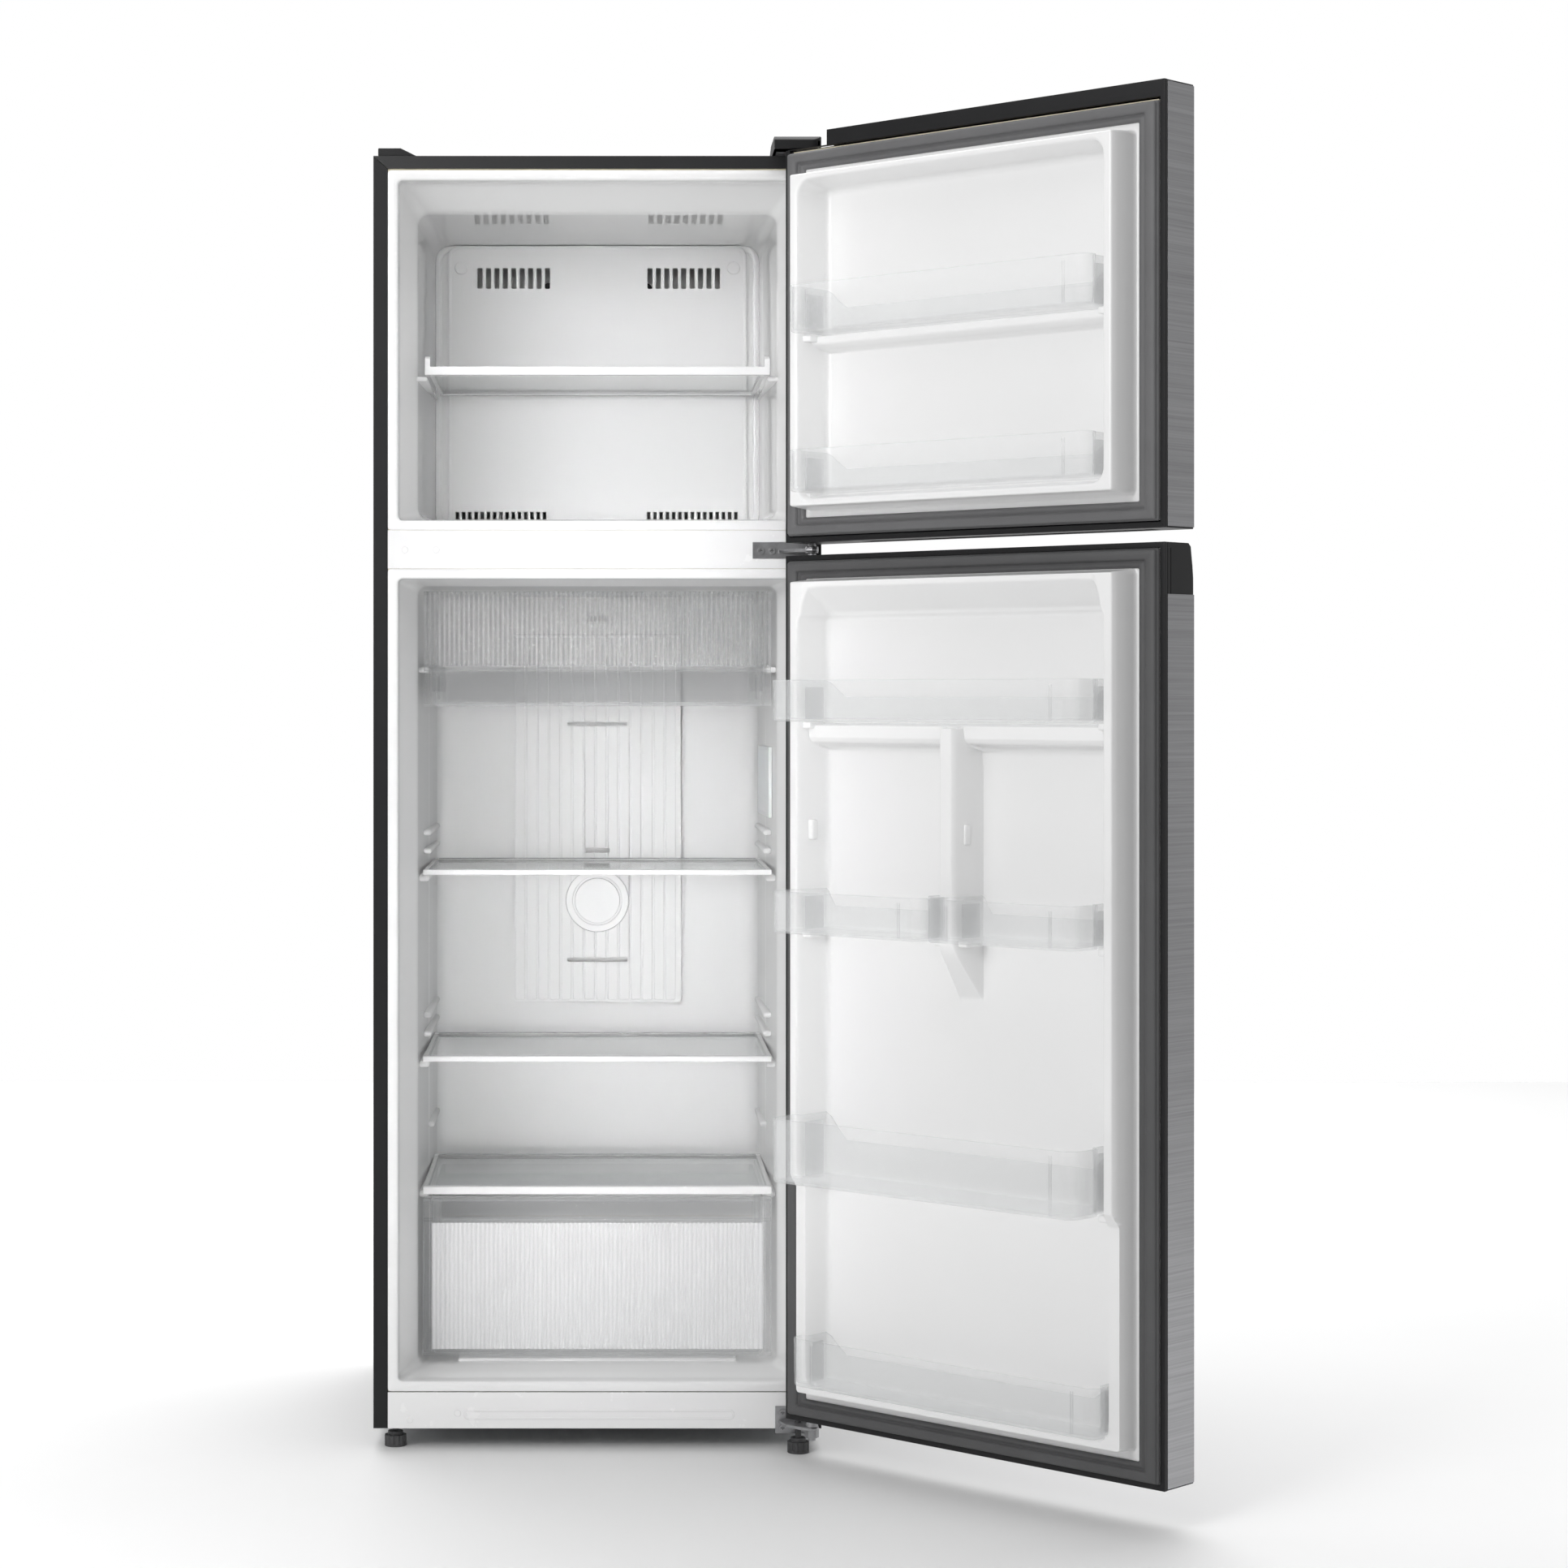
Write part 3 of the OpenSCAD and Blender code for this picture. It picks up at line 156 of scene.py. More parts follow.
def clear(name, colour, rough, face, edge, grain=60.0, flutes=0.0, painted_groove_shade=0.42, **sockets):
    """Clear moulded plastic or float glass: nearly invisible face on, milky towards its edges, with a faint ripple and
    finger marks in its gloss.
    Fluted plastic also gets painted shade in every groove, at the pitch given in mm, and is more opaque there."""
    m, nt, b, tex = material(name)
    marks = noise(nt, tex, 14.0, 6.0)
    nt.links.new(ramp(nt, noise(nt, tex, 5.0, 2.0), [(0.3, shade(colour, 0.97)), (0.7, colour)]), b.inputs["Base Color"])
    nt.links.new(spread(nt, marks, max(rough - 0.02, 0.0), rough + 0.04), b.inputs["Roughness"])
    bump(nt, b, noise(nt, tex, grain, 2.0), 0.05, 0.0002)
    lw = nt.nodes.new("ShaderNodeLayerWeight")
    lw.inputs["Blend"].default_value = 0.35
    alpha = spread(nt, lw.outputs["Facing"], face, edge)
    if flutes:
        sep = nt.nodes.new("ShaderNodeSeparateXYZ")
        nt.links.new(tex.outputs["Object"], sep.inputs["Vector"])
        turn = nt.nodes.new("ShaderNodeMath")
        turn.operation = "MULTIPLY"
        turn.inputs[1].default_value = 2 * math.pi / (flutes * MM)
        nt.links.new(sep.outputs["X"], turn.inputs[0])
        wave = nt.nodes.new("ShaderNodeMath")
        wave.operation = "COSINE"
        nt.links.new(turn.outputs[0], wave.inputs[0])
        groove = nt.nodes.new("ShaderNodeMapRange")
        groove.inputs["From Min"].default_value = -1.0
        groove.inputs["To Min"].default_value = 0.0
        groove.inputs["To Max"].default_value = 0.34
        nt.links.new(wave.outputs[0], groove.inputs["Value"])
        both = nt.nodes.new("ShaderNodeMath")
        both.use_clamp = True
        nt.links.new(alpha, both.inputs[0])
        nt.links.new(groove.outputs["Result"], both.inputs[1])
        alpha = both.outputs[0]
        # painted shade: each groove's colour is darkened by the given factor
        nt.links.new(ramp(nt, groove.outputs["Result"], [(0.0, colour), (0.3, shade(colour, painted_groove_shade))]), b.inputs["Base Color"])
    nt.links.new(alpha, b.inputs["Alpha"])
    for k, v in sockets.items():
        b.inputs[k.replace("_", " ")].default_value = v
    return m


def galvanised(name, colour):
    """Zinc-coated sheet with its spangle."""
    m, nt, b, tex = material(name)
    v = nt.nodes.new("ShaderNodeTexVoronoi")
    v.inputs["Scale"].default_value = 95.0
    nt.links.new(tex.outputs["Object"], v.inputs["Vector"])
    sep = nt.nodes.new("ShaderNodeSeparateColor")
    nt.links.new(v.outputs["Color"], sep.inputs["Color"])
    nt.links.new(ramp(nt, sep.outputs[0], [(0.0, shade(colour, 0.84)), (1.0, shade(colour, 1.12))]), b.inputs["Base Color"])
    nt.links.new(spread(nt, sep.outputs[1], 0.32, 0.5), b.inputs["Roughness"])
    bump(nt, b, noise(nt, tex, 320.0, 3.0), 0.15, 0.00008)
    b.inputs["Metallic"].default_value = 1.0
    return m


M = {
    "white_abs": surface("white_abs_formed", (0.87, 0.87, 0.87), 0.3, var=0.012, scale=3.0, grain=420.0, bump_s=0.05, bump_d=0.00006, Coat_Weight=0.45, Coat_Roughness=0.05),
    "white_abs_gloss": surface("white_abs_gloss", (0.89, 0.89, 0.89), 0.3, var=0.012, scale=3.0, grain=420.0, bump_s=0.04, bump_d=0.00005, Coat_Weight=1.0, Coat_Roughness=0.04),
    # a lighter copy of the white trim for the duct cap: painted light, for the light the cap shows
    "lit_white_trim": surface("lit_white_trim_gloss", (0.95, 0.95, 0.95), 0.22, var=0.008, grain=600.0, bump_s=0.04, Coat_Weight=0.3, Coat_Roughness=0.08),
    "white_trim": surface("white_trim_gloss", (0.88, 0.88, 0.88), 0.2, var=0.012, grain=600.0, bump_s=0.05, Coat_Weight=0.3, Coat_Roughness=0.08),
    "white_steel": surface("white_painted_steel", (0.86, 0.86, 0.86), 0.26, var=0.012, grain=700.0, bump_s=0.1, Coat_Weight=0.3, Coat_Roughness=0.1),
    "charcoal_steel": surface("charcoal_painted_steel", (0.010, 0.010, 0.011), 0.45, var=0.08, grain=1100.0, bump_s=0.25, bump_d=0.00008, Specular_IOR_Level=0.3),
    "black_steel": surface("black_painted_steel", (0.008, 0.008, 0.009), 0.42, var=0.1, grain=1100.0, bump_s=0.2),
    "zinc_steel": galvanised("galvanised_steel", (0.46, 0.47, 0.48)),
    "hinge_steel": brushed("hinge_plated_steel", (0.36, 0.36, 0.37), 0.32, (60, 60, 60), 1.0, 0.2),
    "brushed_door": brushed("brushed_door_steel", (0.36, 0.36, 0.37), 0.36, (3.0, 3.0, 420.0)),
    "foam": surface("rigid_foam", (0.80, 0.74, 0.56), 0.9, var=0.08, scale=30, grain=260.0, bump_s=0.6, bump_d=0.0006),
    "black_plastic": surface("black_moulded_plastic", (0.010, 0.010, 0.011), 0.42, var=0.1, grain=1500.0, bump_s=0.25, bump_d=0.00008, Specular_IOR_Level=0.3),
    "black_rubber": surface("black_rubber", (0.02, 0.02, 0.02), 0.75, var=0.1, grain=1500.0, bump_s=0.3, bump_d=0.0001),
    "drip_plastic": surface("drip_tray_plastic", (0.55, 0.55, 0.55), 0.5, var=0.05),
    "aluminium_fins": brushed("aluminium_fins", (0.72, 0.73, 0.74), 0.3, (40, 40, 400), 1.0, 0.1),
    "lamp_plastic": surface("frosted_lamp_plastic", (0.9, 0.9, 0.9), 0.32, var=0.01, bump_s=0.05, Subsurface_Weight=0.1),
    "fan_plastic": surface("fan_plastic", (0.75, 0.75, 0.75), 0.35, var=0.02),
    "foot_plastic": surface("foot_plastic", (0.06, 0.06, 0.062), 0.5, var=0.12, grain=1200.0, bump_s=0.3),
    "roller_plastic": surface("roller_plastic", (0.08, 0.08, 0.08), 0.5, var=0.1),
    "shelf_glass": clear("float_glass", (0.86, 0.90, 0.89), 0.03, 0.12, 0.40),
    "clear_plastic": clear("clear_moulded_plastic", (0.80, 0.81, 0.815), 0.06, 0.05, 0.56),
    "gasket_rubber": surface("gasket_vinyl", (0.085, 0.085, 0.087), 0.55, var=0.06, scale=14, grain=1400.0, bump_s=0.25, bump_d=0.00006),
}
# both fluted plastics get painted shade in their grooves, the milky one only a little
M["clear_fluted"] = clear("clear_fluted_plastic", (0.88, 0.885, 0.89), 0.5, 0.04, 0.36, grain=8.0, flutes=6.6, Specular_IOR_Level=0.12)
M["milky_fluted"] = clear("milky_fluted_plastic", (0.97, 0.975, 0.98), 0.5, 0.46, 0.62, grain=8.0, flutes=6.0, painted_groove_shade=0.84, Specular_IOR_Level=0.12)
# a lighter copy of the same gasket vinyl for the upper door: painted light
M["gasket_light"] = surface("gasket_vinyl_upper_lit", (0.13, 0.13, 0.133), 0.55, var=0.06, scale=14, grain=1400.0, bump_s=0.25, bump_d=0.00006)


# ------------------------------------------------------------------ mesh helpers
def tidy(bm):
    bmesh.ops.remove_doubles(bm, verts=bm.verts, dist=2e-6)
    loose = [v for v in bm.verts if not v.link_faces]
    if loose:
        bmesh.ops.delete(bm, geom=loose, context="VERTS")
    bmesh.ops.recalc_face_normals(bm, faces=bm.faces)


def steady_normals(me, sharp):
    """Keep big flat faces flat beside their rounded edges: each corner's normal follows the larger faces round it."""
    n = len(me.loops)
    lv = np.empty(n, np.int32)
    me.loops.foreach_get("vertex_index", lv)
    tot = np.empty(len(me.polygons), np.int32)
    me.polygons.foreach_get("loop_total", tot)
    lf = np.repeat(np.arange(len(tot)), tot)
    fn = np.empty(len(tot) * 3, np.float32)
    me.polygons.foreach_get("normal", fn)
    fn = fn.reshape(-1, 3)
    fa = np.empty(len(tot), np.float32)
    me.polygons.foreach_get("area", fa)
    order = np.argsort(lv, kind="stable")
    v, f = lv[order], lf[order]
    nf, wf = fn[f], fa[f].astype(np.float64) + 1e-12
    acc = nf * wf[:, None]
    limit = math.cos(math.radians(sharp))
    k = 1
    while True:
        same = np.nonzero(v[k:] == v[:-k])[0]
        if not len(same):
            break
        i, j = same, same + k
        near = (nf[i] * nf[j]).sum(1) > limit
        i, j = i[near], j[near]
        np.add.at(acc, i, nf[j] * wf[j, None])
        np.add.at(acc, j, nf[i] * wf[i, None])
        k += 1
    acc /= np.linalg.norm(acc, axis=1)[:, None] + 1e-20
    out = np.empty((n, 3), np.float32)
    out[order] = acc
    me.normals_split_custom_set(out.tolist())


def to_object(name, bm, mat, sharp=35.0, steady=False):
    me = bpy.data.meshes.new(name)
    bm.to_mesh(me)
    bm.free()
    for a in ("custom_normal", "sharp_edge", "sharp_face"):
        if a in me.attributes:
            me.attributes.remove(me.attributes[a])
    me.shade_smooth()
    me.set_sharp_from_angle(angle=math.radians(sharp))
    if steady:
        steady_normals(me, sharp)
    kinds = [p.material_index for p in me.polygons]
    me.materials.clear()
    for m in (mat if isinstance(mat, tuple) else (mat,)):
        me.materials.append(m)
    if any(kinds):
        me.polygons.foreach_set("material_index", kinds)
    ob = bpy.data.objects.new(name, me)
    scene.collection.objects.link(ob)
    return ob


CLEAR_SLOTS = ("clear_plastic", "shelf_glass")


def stands_for(ob, *nodes):
    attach(ob, BODY_OF[nodes[0]])
    if SLOT_OF[nodes[0]] in CLEAR_SLOTS:
        ob.visible_shadow = False
    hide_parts(*nodes)
    return ob


def soften(node, width, seg=2, mat=None, ang=28.0, sharp=35.0, merge=True, shrink=0.0, extra=None):
    """The CAD node's own shape with its coplanar triangles merged and its edges rounded."""
    bm = bmesh.new()
    bm.from_mesh(NODES[node].data)
    bmesh.ops.remove_doubles(bm, verts=bm.verts, dist=2e-6)
    if shrink:
        bm.normal_update()
        moves = [(v, v.normal * (-shrink * MM)) for v in bm.verts]
        for v, d in moves:
            v.co += d
    if merge:
        bmesh.ops.dissolve_limit(bm, angle_limit=math.radians(0.8), verts=bm.verts, edges=bm.edges)
    edges = [e for e in bm.edges if len(e.link_faces) == 2 and e.calc_face_angle(0.0) > math.radians(ang)]
    if width > 0 and edges:
        bmesh.ops.bevel(bm, geom=edges, offset=width * MM, segments=seg, profile=0.5, affect="EDGES", clamp_overlap=False)
    bmesh.ops.recalc_face_normals(bm, faces=bm.faces)
    if extra:
        tidy(extra.bm)
        me = bpy.data.meshes.new(node + "_extra")
        extra.bm.to_mesh(me)
        extra.bm.free()
        bm.from_mesh(me)
        bpy.data.meshes.remove(me)
    ob = to_object(node + "_piece", bm, mat or M[SLOT_OF[node]], sharp, width > 0)
    return stands_for(ob, node)


def rr(u0, u1, v0, v1, r, n=6):
    """Rounded rectangle, from its right side round through the top."""
    pts = []
    for cx, cy, a0 in ((u1 - r, v1 - r, 0), (u0 + r, v1 - r, 90), (u0 + r, v0 + r, 180), (u1 - r, v0 + r, 270)):
        for i in range(n + 1):
            a = math.radians(a0 + 90.0 * i / n)
            pts.append((cx + r * math.cos(a), cy + r * math.sin(a)))
    return pts


class Build:
    """Collects the closed shells of one piece."""

    def __init__(self):
        self.bm = bmesh.new()
        self.kind = 0

    def faces(self, verts, faces):
        vs = [self.bm.verts.new([c * MM for c in v]) for v in verts]
        for f in faces:
            try:
                self.bm.faces.new([vs[i] for i in f]).material_index = self.kind
            except ValueError:
                pass
        return self

    def loft(self, loops, cap0=True, cap1=True, ring=False):
        n = len(loops[0])
        verts = [p for l in loops for p in l]
        fs = []
        m = len(loops)
        for i in range(m if ring else m - 1):
            k = (i + 1) % m
            for j in range(n):
                q = (j + 1) % n
                fs.append((i * n + j, i * n + q, k * n + q, k * n + j))
        if not ring:
            if cap0:
                fs.append(tuple(range(n)))
            if cap1:
                fs.append(tuple((m - 1) * n + j for j in range(n)))
        return self.faces(verts, fs)

    def rbox(self, lo, hi, r, seg=3, place=None):
        b = bmesh.new()
        bmesh.ops.create_cube(b, size=1.0)
        for v in b.verts:
            v.co = Vector([(lo[i] + hi[i]) / 2 + v.co[i] * (hi[i] - lo[i]) for i in range(3)])
        bmesh.ops.bevel(b, geom=list(b.edges), offset=min(r, 0.49 * min(hi[i] - lo[i] for i in range(3))), segments=seg, profile=0.5, affect="EDGES")
        b.verts.index_update()
        verts = [tuple(v.co) for v in b.verts]
        if place:
            verts = [place(v) for v in verts]
        fs = [tuple(v.index for v in f.verts) for f in b.faces]
        b.free()
        return self.faces(verts, fs)

    def piece(self, name, mat, sharp=35.0):
        tidy(self.bm)
        return to_object(name, self.bm, mat, sharp)


def interp(table, y):
    return float(np.interp(y, [t[0] for t in table], [t[1] for t in table]))


# ------------------------------------------------------------------ the two inner liners
def liner(name, node, hw, zb, zt, z0, z1, ys, corner, back_r, extras, mat="white_abs"):
    """A formed inner wall: flange, rolled edge, step, drawn walls and a rounded back, as one closed shell."""
    def loop(y, g, inset=0.0, dz=0.0):
        w = interp(hw, y) + g - inset
        return [(p[0], y, p[1]) for p in rr(-w, w, interp(zb, y) - g + inset, interp(zt, y) + g - inset, max(interp(corner, y) + g * 0.6 - inset * 0.3, 1.0))]

    T = 1.8
    fl = CAB_W / 2 - 19
    out_back = []
    for k in range(6, -1, -1):
        t = math.radians(90.0 * k / 6)
        out_back.append(loop(LINER_D - back_r + (back_r + T - 0.1) * math.sin(t), T, back_r * (1 - math.cos(t))))
    loops = list(out_back)
    for y in reversed(ys):
        loops.append(loop(y, T))
    loops.append(loop(5.0, T))
    loops.append([(p[0], 1.9, p[1]) for p in rr(-OPEN_HW - 3, OPEN_HW + 3, z0 - 3, z1 + 3, 8)])
    loops.append([(p[0], 1.9, p[1]) for p in rr(-fl + 0.3, fl - 0.3, z0 - 12.8, z1 + 12.8, 4)])
    loops.append([(p[0], 0.35, p[1]) for p in rr(-fl + 0.3, fl - 0.3, z0 - 12.8, z1 + 12.8, 4)])
    loops.append([(p[0], 0.05, p[1]) for p in rr(-fl + 0.7, fl - 0.7, z0 - 12.4, z1 + 12.4, 4)])
    for g, y in ((3.0, 0.05), (1.5, 0.4), (0.45, 1.4), (0.0, 3.0)):
        loops.append([(p[0], y, p[1]) for p in rr(-OPEN_HW - g, OPEN_HW + g, z0 - g, z1 + g, 6 + g)])
    for y in ys:
        loops.append(loop(y, 0))
    for k in range(0, 7):
        t = math.radians(90.0 * k / 6)
        loops.append(loop(LINER_D - back_r + back_r * math.sin(t), 0, back_r * (1 - math.cos(t))))
    b = Build().loft(loops)
    for e in extras:
        b.rbox(*e)
    return stands_for(b.piece(name, M[mat], 50), node)


def wall_x(y):
    return LINER_HW + (236 - LINER_HW) * (y - STEP_Y) / (LINER_D - 26 - STEP_Y)


YS = [8, 20, 25, 28, 30.5, 33.5, 40, 55, 72, 86, 93, 98, 102, 107, 115, 140, 180, 230, 285]
EASE = [(-5, OPEN_HW), (26, OPEN_HW), (30.5, OPEN_HW - 0.9), (36, OPEN_HW - 2.4), (94, LINER_HW + 1.3), (100, LINER_HW + 0.35), (108, LINER_HW - 0.14)]
fz_extras = []
for s in (-1, 1):
    lo, hi = sorted((s * 230.5, s * 246))
    fz_extras.append(((lo, 94, Z_FREEZER - 13.4), (hi, 399, Z_FREEZER - 7.4), 2.8))

liner("freezer_liner_formed", "freezer_liner",
      EASE + [(498, 231), (540, 231)],
      [(-5, 1234), (27, 1234), (34, 1234.4), (96, 1239.8), (104, 1240.1), (540, 1242)],
      [(-5, 1686), (27, 1686), (35, 1684), (95, 1656.8), (104, 1655), (540, 1652)],
      FZ_Z0, FZ_Z1, YS + [340, 395, 450, 485], [(0, 6), (30, 7), (100, 15), (300, 20), (520, 24)], 22, fz_extras, "white_abs_gloss")

fr_extras = []
for s in (-1, 1):
    def side(y0, y1, z, h, inner, r=3.5):
        lo, hi = sorted((s * inner, s * (wall_x(y0) + 1.0)))
        fr_extras.append(((lo, y0, z - h), (hi, y1, z), r))
    for z in (Z_UPPER, Z_MIDDLE):
        side(127, 468, z - 6.5, 9, 229.4)
        for k in (1, 2):
            side(211, 468, z + 26 * k, 8, 230.6, 3.8)
    side(127, 468, Z_COVER - 6.5, 9, 229.4)
    side(301, 468, Z_COVER + 66, 8, 230.6)
    side(119, 468, 1040.4, 8, 229.4)
fr_extras.append(((-190, 118.5, 88), (190, 300, 98.4), 3.0))
HUMP = [(-5, 90), (27, 90), (34, 90.3), (97, 93.8), (104, 94.05), (300, 95), (306, 95.3), (310, 97), (313, 101), (315.5, 110), (327.5, 244), (329.5, 254), (332.5, 260), (337, 263.5), (345, 266), (400, 284), (420, 284.6), (540, 288)]
liner("fridge_liner_formed", "fridge_liner",
      EASE + [(494, 236), (540, 236)], HUMP,
      [(-5, 1156.5), (27, 1156.5), (34, 1156.1), (97, 1149.8), (104, 1149.4), (540, 1147.5)],
      FR_Z0, FR_Z1, YS + [300, 306, 310, 313, 315.5, 319, 323, 327.5, 329.5, 332.5, 337, 345, 370, 395, 400, 405, 420, 450, 480], [(0, 6), (30, 7), (100, 12), (300, 16), (520, 22)], 26, fr_extras)


# ------------------------------------------------------------------ door liners
def profile(width, rise, base_r, crest_r, n=7):
    """A drafted wall seen side on: fillet at its foot, slope, rounded crest. Distance in and height."""
    ang = math.atan2(rise, width)
    pts = []
    tb = base_r * math.tan(ang / 2)
    for i in range(n + 1):
        t = ang * i / n
        pts.append((-tb + base_r * math.sin(t), base_r * (1 - math.cos(t))))
    tc = crest_r * math.tan(ang / 2)
    for i in range(n, -1, -1):
        t = ang * i / n
        pts.append((width + tc - crest_r * math.sin(t), rise - crest_r * (1 - math.cos(t))))
    return np.array([p[0] for p in pts]), np.array([p[1] for p in pts])


def inside(a, z, a0, a1, z0, z1, r, top=None, top_run=1.0):
    """How far inside a rounded rectangle a point is. The top side may be stretched over a longer run."""
    da = np.minimum(a - a0, a1 - a)
    dt = z1 - z
    if top:
        dt = np.where(dt < top, dt * top_run / top, top_run + dt - top)
    dz = np.minimum(z - z0, dt)
    qa, qz = r - da, r - dz
    return r - (np.hypot(np.maximum(qa, 0), np.maximum(qz, 0)) + np.minimum(np.maximum(qa, qz), 0))


def smin(x, y, k):
    h = np.clip(0.5 + 0.5 * (y - x) / k, 0, 1)
    return y * (1 - h) + x * h - k * h * (1 - h)


def smax(x, y, k):
    return -smin(-x, -y, k)


def lines(lo, hi, fine, coarse):
    """Grid lines: a coarse spacing, with finer stretches (from, to, step)."""
    xs = set([round(lo, 3), round(hi, 3)])
    x = lo
    while x < hi:
        step = coarse
        for f0, f1, s in fine:
            if f0 <= x < f1:
                step = min(step, s)
            elif x < f0 and x + step > f0:
                step = min(step, f0 - x)
        x = round(x + max(step, 0.05), 3)
        if x < hi:
            xs.add(x)
    return np.array(sorted(xs))


OUT_D, OUT_H = profile(4.5, 1.0, 0.0, 0.0)


def wall_out(d, rise, crest=5.0, base=2.5):
    ds, hs = profile(4.5, rise, base, crest)
    return np.interp(d, ds, hs)


def wall_in(d, depth=53.0, top=45.0, width=8.0, crest=4.5, base=9.0):
    """Down from the crest to the hollow's floor."""
    ds, hs = profile(width, depth, crest, base)
    return top - np.interp(d, ds, hs)


def door_field(name, node, z0, z1, height, az, zz, lugs):
    A, Z = np.meshgrid(az, zz, indexing="ij")
    H = height(A, Z)
    na, nz = len(az), len(zz)
    verts, faces = [], []
    for i in range(na):
        for j in range(nz):
            verts.append(on_door((az[i], float(H[i, j]), zz[j])))
    off = len(verts)
    for i in range(na):
        for j in range(nz):
            verts.append(on_door((az[i], float(H[i, j]) - 1.8, zz[j])))
    at = lambda i, j: i * nz + j
    for i in range(na - 1):
        for j in range(nz - 1):
            faces.append((at(i, j), at(i + 1, j), at(i + 1, j + 1), at(i, j + 1)))
            faces.append((off + at(i, j), off + at(i, j + 1), off + at(i + 1, j + 1), off + at(i + 1, j)))
    for j in range(nz - 1):
        faces.append((at(0, j), at(0, j + 1), off + at(0, j + 1), off + at(0, j)))
        faces.append((at(na - 1, j + 1), at(na - 1, j), off + at(na - 1, j), off + at(na - 1, j + 1)))
    for i in range(na - 1):
        faces.append((at(i + 1, 0), at(i, 0), off + at(i, 0), off + at(i + 1, 0)))
        faces.append((at(i, nz - 1), at(i + 1, nz - 1), off + at(i + 1, nz - 1), off + at(i, nz - 1)))
    b = Build().faces(verts, faces)
    for lo, hi, r in lugs:
        b.rbox(lo, hi, r, 2, on_door)
    return stands_for(b.piece(name, M["white_abs"], 60), node)


A_FINE = [(38, 74, 0.9), (521, 557, 0.9)]


def fz_height(a, z):
    out = wall_out(inside(a, z, 41, 554, FZ_Z0 + 7, FZ_Z1 - 8, 7), 45.0, 2.4)
    full = wall_in(inside(a, z, 58, 537, FZ_Z0 + 20, FZ_Z1 - 20, 20))
    low = wall_in(inside(a, z, 58, 537, FZ_Z0 + 20, 1456, 22))
    high = wall_in(inside(a, z, 58, 537, 1464.5, FZ_Z1 - 20, 20))
    ledge = np.interp(z, [1444, 1449, 1454, 1457, 1464.6, 1466, 1467.2], [-12, 6, 18, 20.5, 21, 17, -12])
    strip = np.minimum(np.minimum(low, high), ledge)
    return np.minimum(out, smax(full, strip, 2.0))


door_field("fz_door_liner_formed", "fz_door_liner", FZD_Z0, FZD_Z1, fz_height,
           lines(7.7, 587.3, A_FINE, 14),
           lines(FZD_Z0 + 8.7, FZD_Z1 - 25.7, [(1238, 1272, 0.9), (1434, 1470, 1.2), (1640, 1682, 0.9)], 14),
           [((a, 4, z - 9), (a + 14, 35, z - 0.5), 2.0) for z in (1262, 1466.5) for a in (58.5, 522.5)])


def fr_height(a, z):
    crest = np.interp(z, [366, 384], [30.0, 45.0])
    d = inside(a, z, 41, 554, FR_Z0 + 6, FR_Z1 - 4, 7)
    out = smin(wall_out(d, 45.0, 2.4), crest, 2.0)
    full = wall_in(inside(a, z, 58, 537, FR_Z0 + 15, FR_Z1 - 14, 20, 38.0, 8.0))
    low = wall_in(inside(a, z, 58, 537, FR_Z0 + 15, 945, 26))
    high = wall_in(inside(a, z, 58, 537, 963, FR_Z1 - 14, 20, 38.0, 8.0))
    ledge = np.interp(z, [930, 936, 942, 947, 962.5, 964.3, 965.6], [-12, 6, 20, 24, 27, 23, -12])
    strip = np.minimum(np.minimum(low, high), ledge)
    post = np.minimum(np.interp(a, [280, 288.5, 292, 308, 311.5, 320], [-20, 40, 45, 45, 40, -20]),
                      np.interp(z, [600, 606, 682, 698, 960, 962], [-22, -20, 39, 45, 45, -20]))
    # the post's head spreads into the ledge
    head = wall_in(np.hypot((np.abs(a - 300) - 36) * 1.0, np.minimum(z - 938, 0) * 1.0) - 18, 53.0, 45.0)
    arch = np.where((z > 914) & (z < 963), np.minimum(np.interp(np.abs(a - 300), [8, 30], [30, -12]), ledge + 6), -20)
    h = smax(smax(full, strip, 2.0), smax(post, arch, 2.0), 2.0)
    return np.minimum(out, h)


door_field("fr_door_liner_formed", "fr_door_liner", FRD_Z0, FRD_Z1, fr_height,
           lines(7.7, 587.3, A_FINE + [(276, 324, 1.0)], 14),
           lines(FRD_Z0 + 7.7, FRD_Z1 - 7.7, [(94, 120, 0.9), (362, 388, 2.0), (600, 700, 5.0), (924, 968, 1.2), (1098, 1156, 1.5)], 14),
           [((a, 4, z - 9), (a + 14, min(h, 36) - 1, z - 0.5), 2.0) for z, h, aa in
            ((968, 36, (58.5, 522.5)), (698, 36, (58.5, 274, 312, 522.5)), (380, 36, (58.5, 522.5)), (114, 24, (58.5, 522.5))) for a in aa]
           + [((a, 13, 815), (a + 9, 25, 841), 2.5) for a in (58.5, 307.5, 527.5)])


# ------------------------------------------------------------------ gaskets
def gasket(name, node, z0, z1, mat):
    """Bellows, magnet bar and inner lip, mitred at the corners."""
    prof = [(7.15, 0.15), (7.2, 1.5), (7.9, 3.2), (9.2, 4.2), (9.0, 5.6), (9.8, 7.4), (11.5, 8.35), (16, 8.5), (21.5, 8.35), (23.4, 7.4), (24.4, 5.4), (24.9, 3.9),
            (26.2, 3.2), (27.8, 3.6), (29.5, 4.6), (31.5, 4.7), (33.5, 3.8), (35.2, 2.2), (35.9, 0.9), (35.6, 0.15)]
    kz = (31 - 7.5) / (36 - 7.5)
    loops = []
    for d, h in prof:
        dz = 7.5 + (d - 7.5) * kz
        loops.append([on_door((p[0], h, p[1])) for p in rr(d, CAB_W - d, z0 + dz, z1 - dz, 2.2, 3)])
    return stands_for(Build().loft(loops, ring=True).piece(name, mat, 40), node)


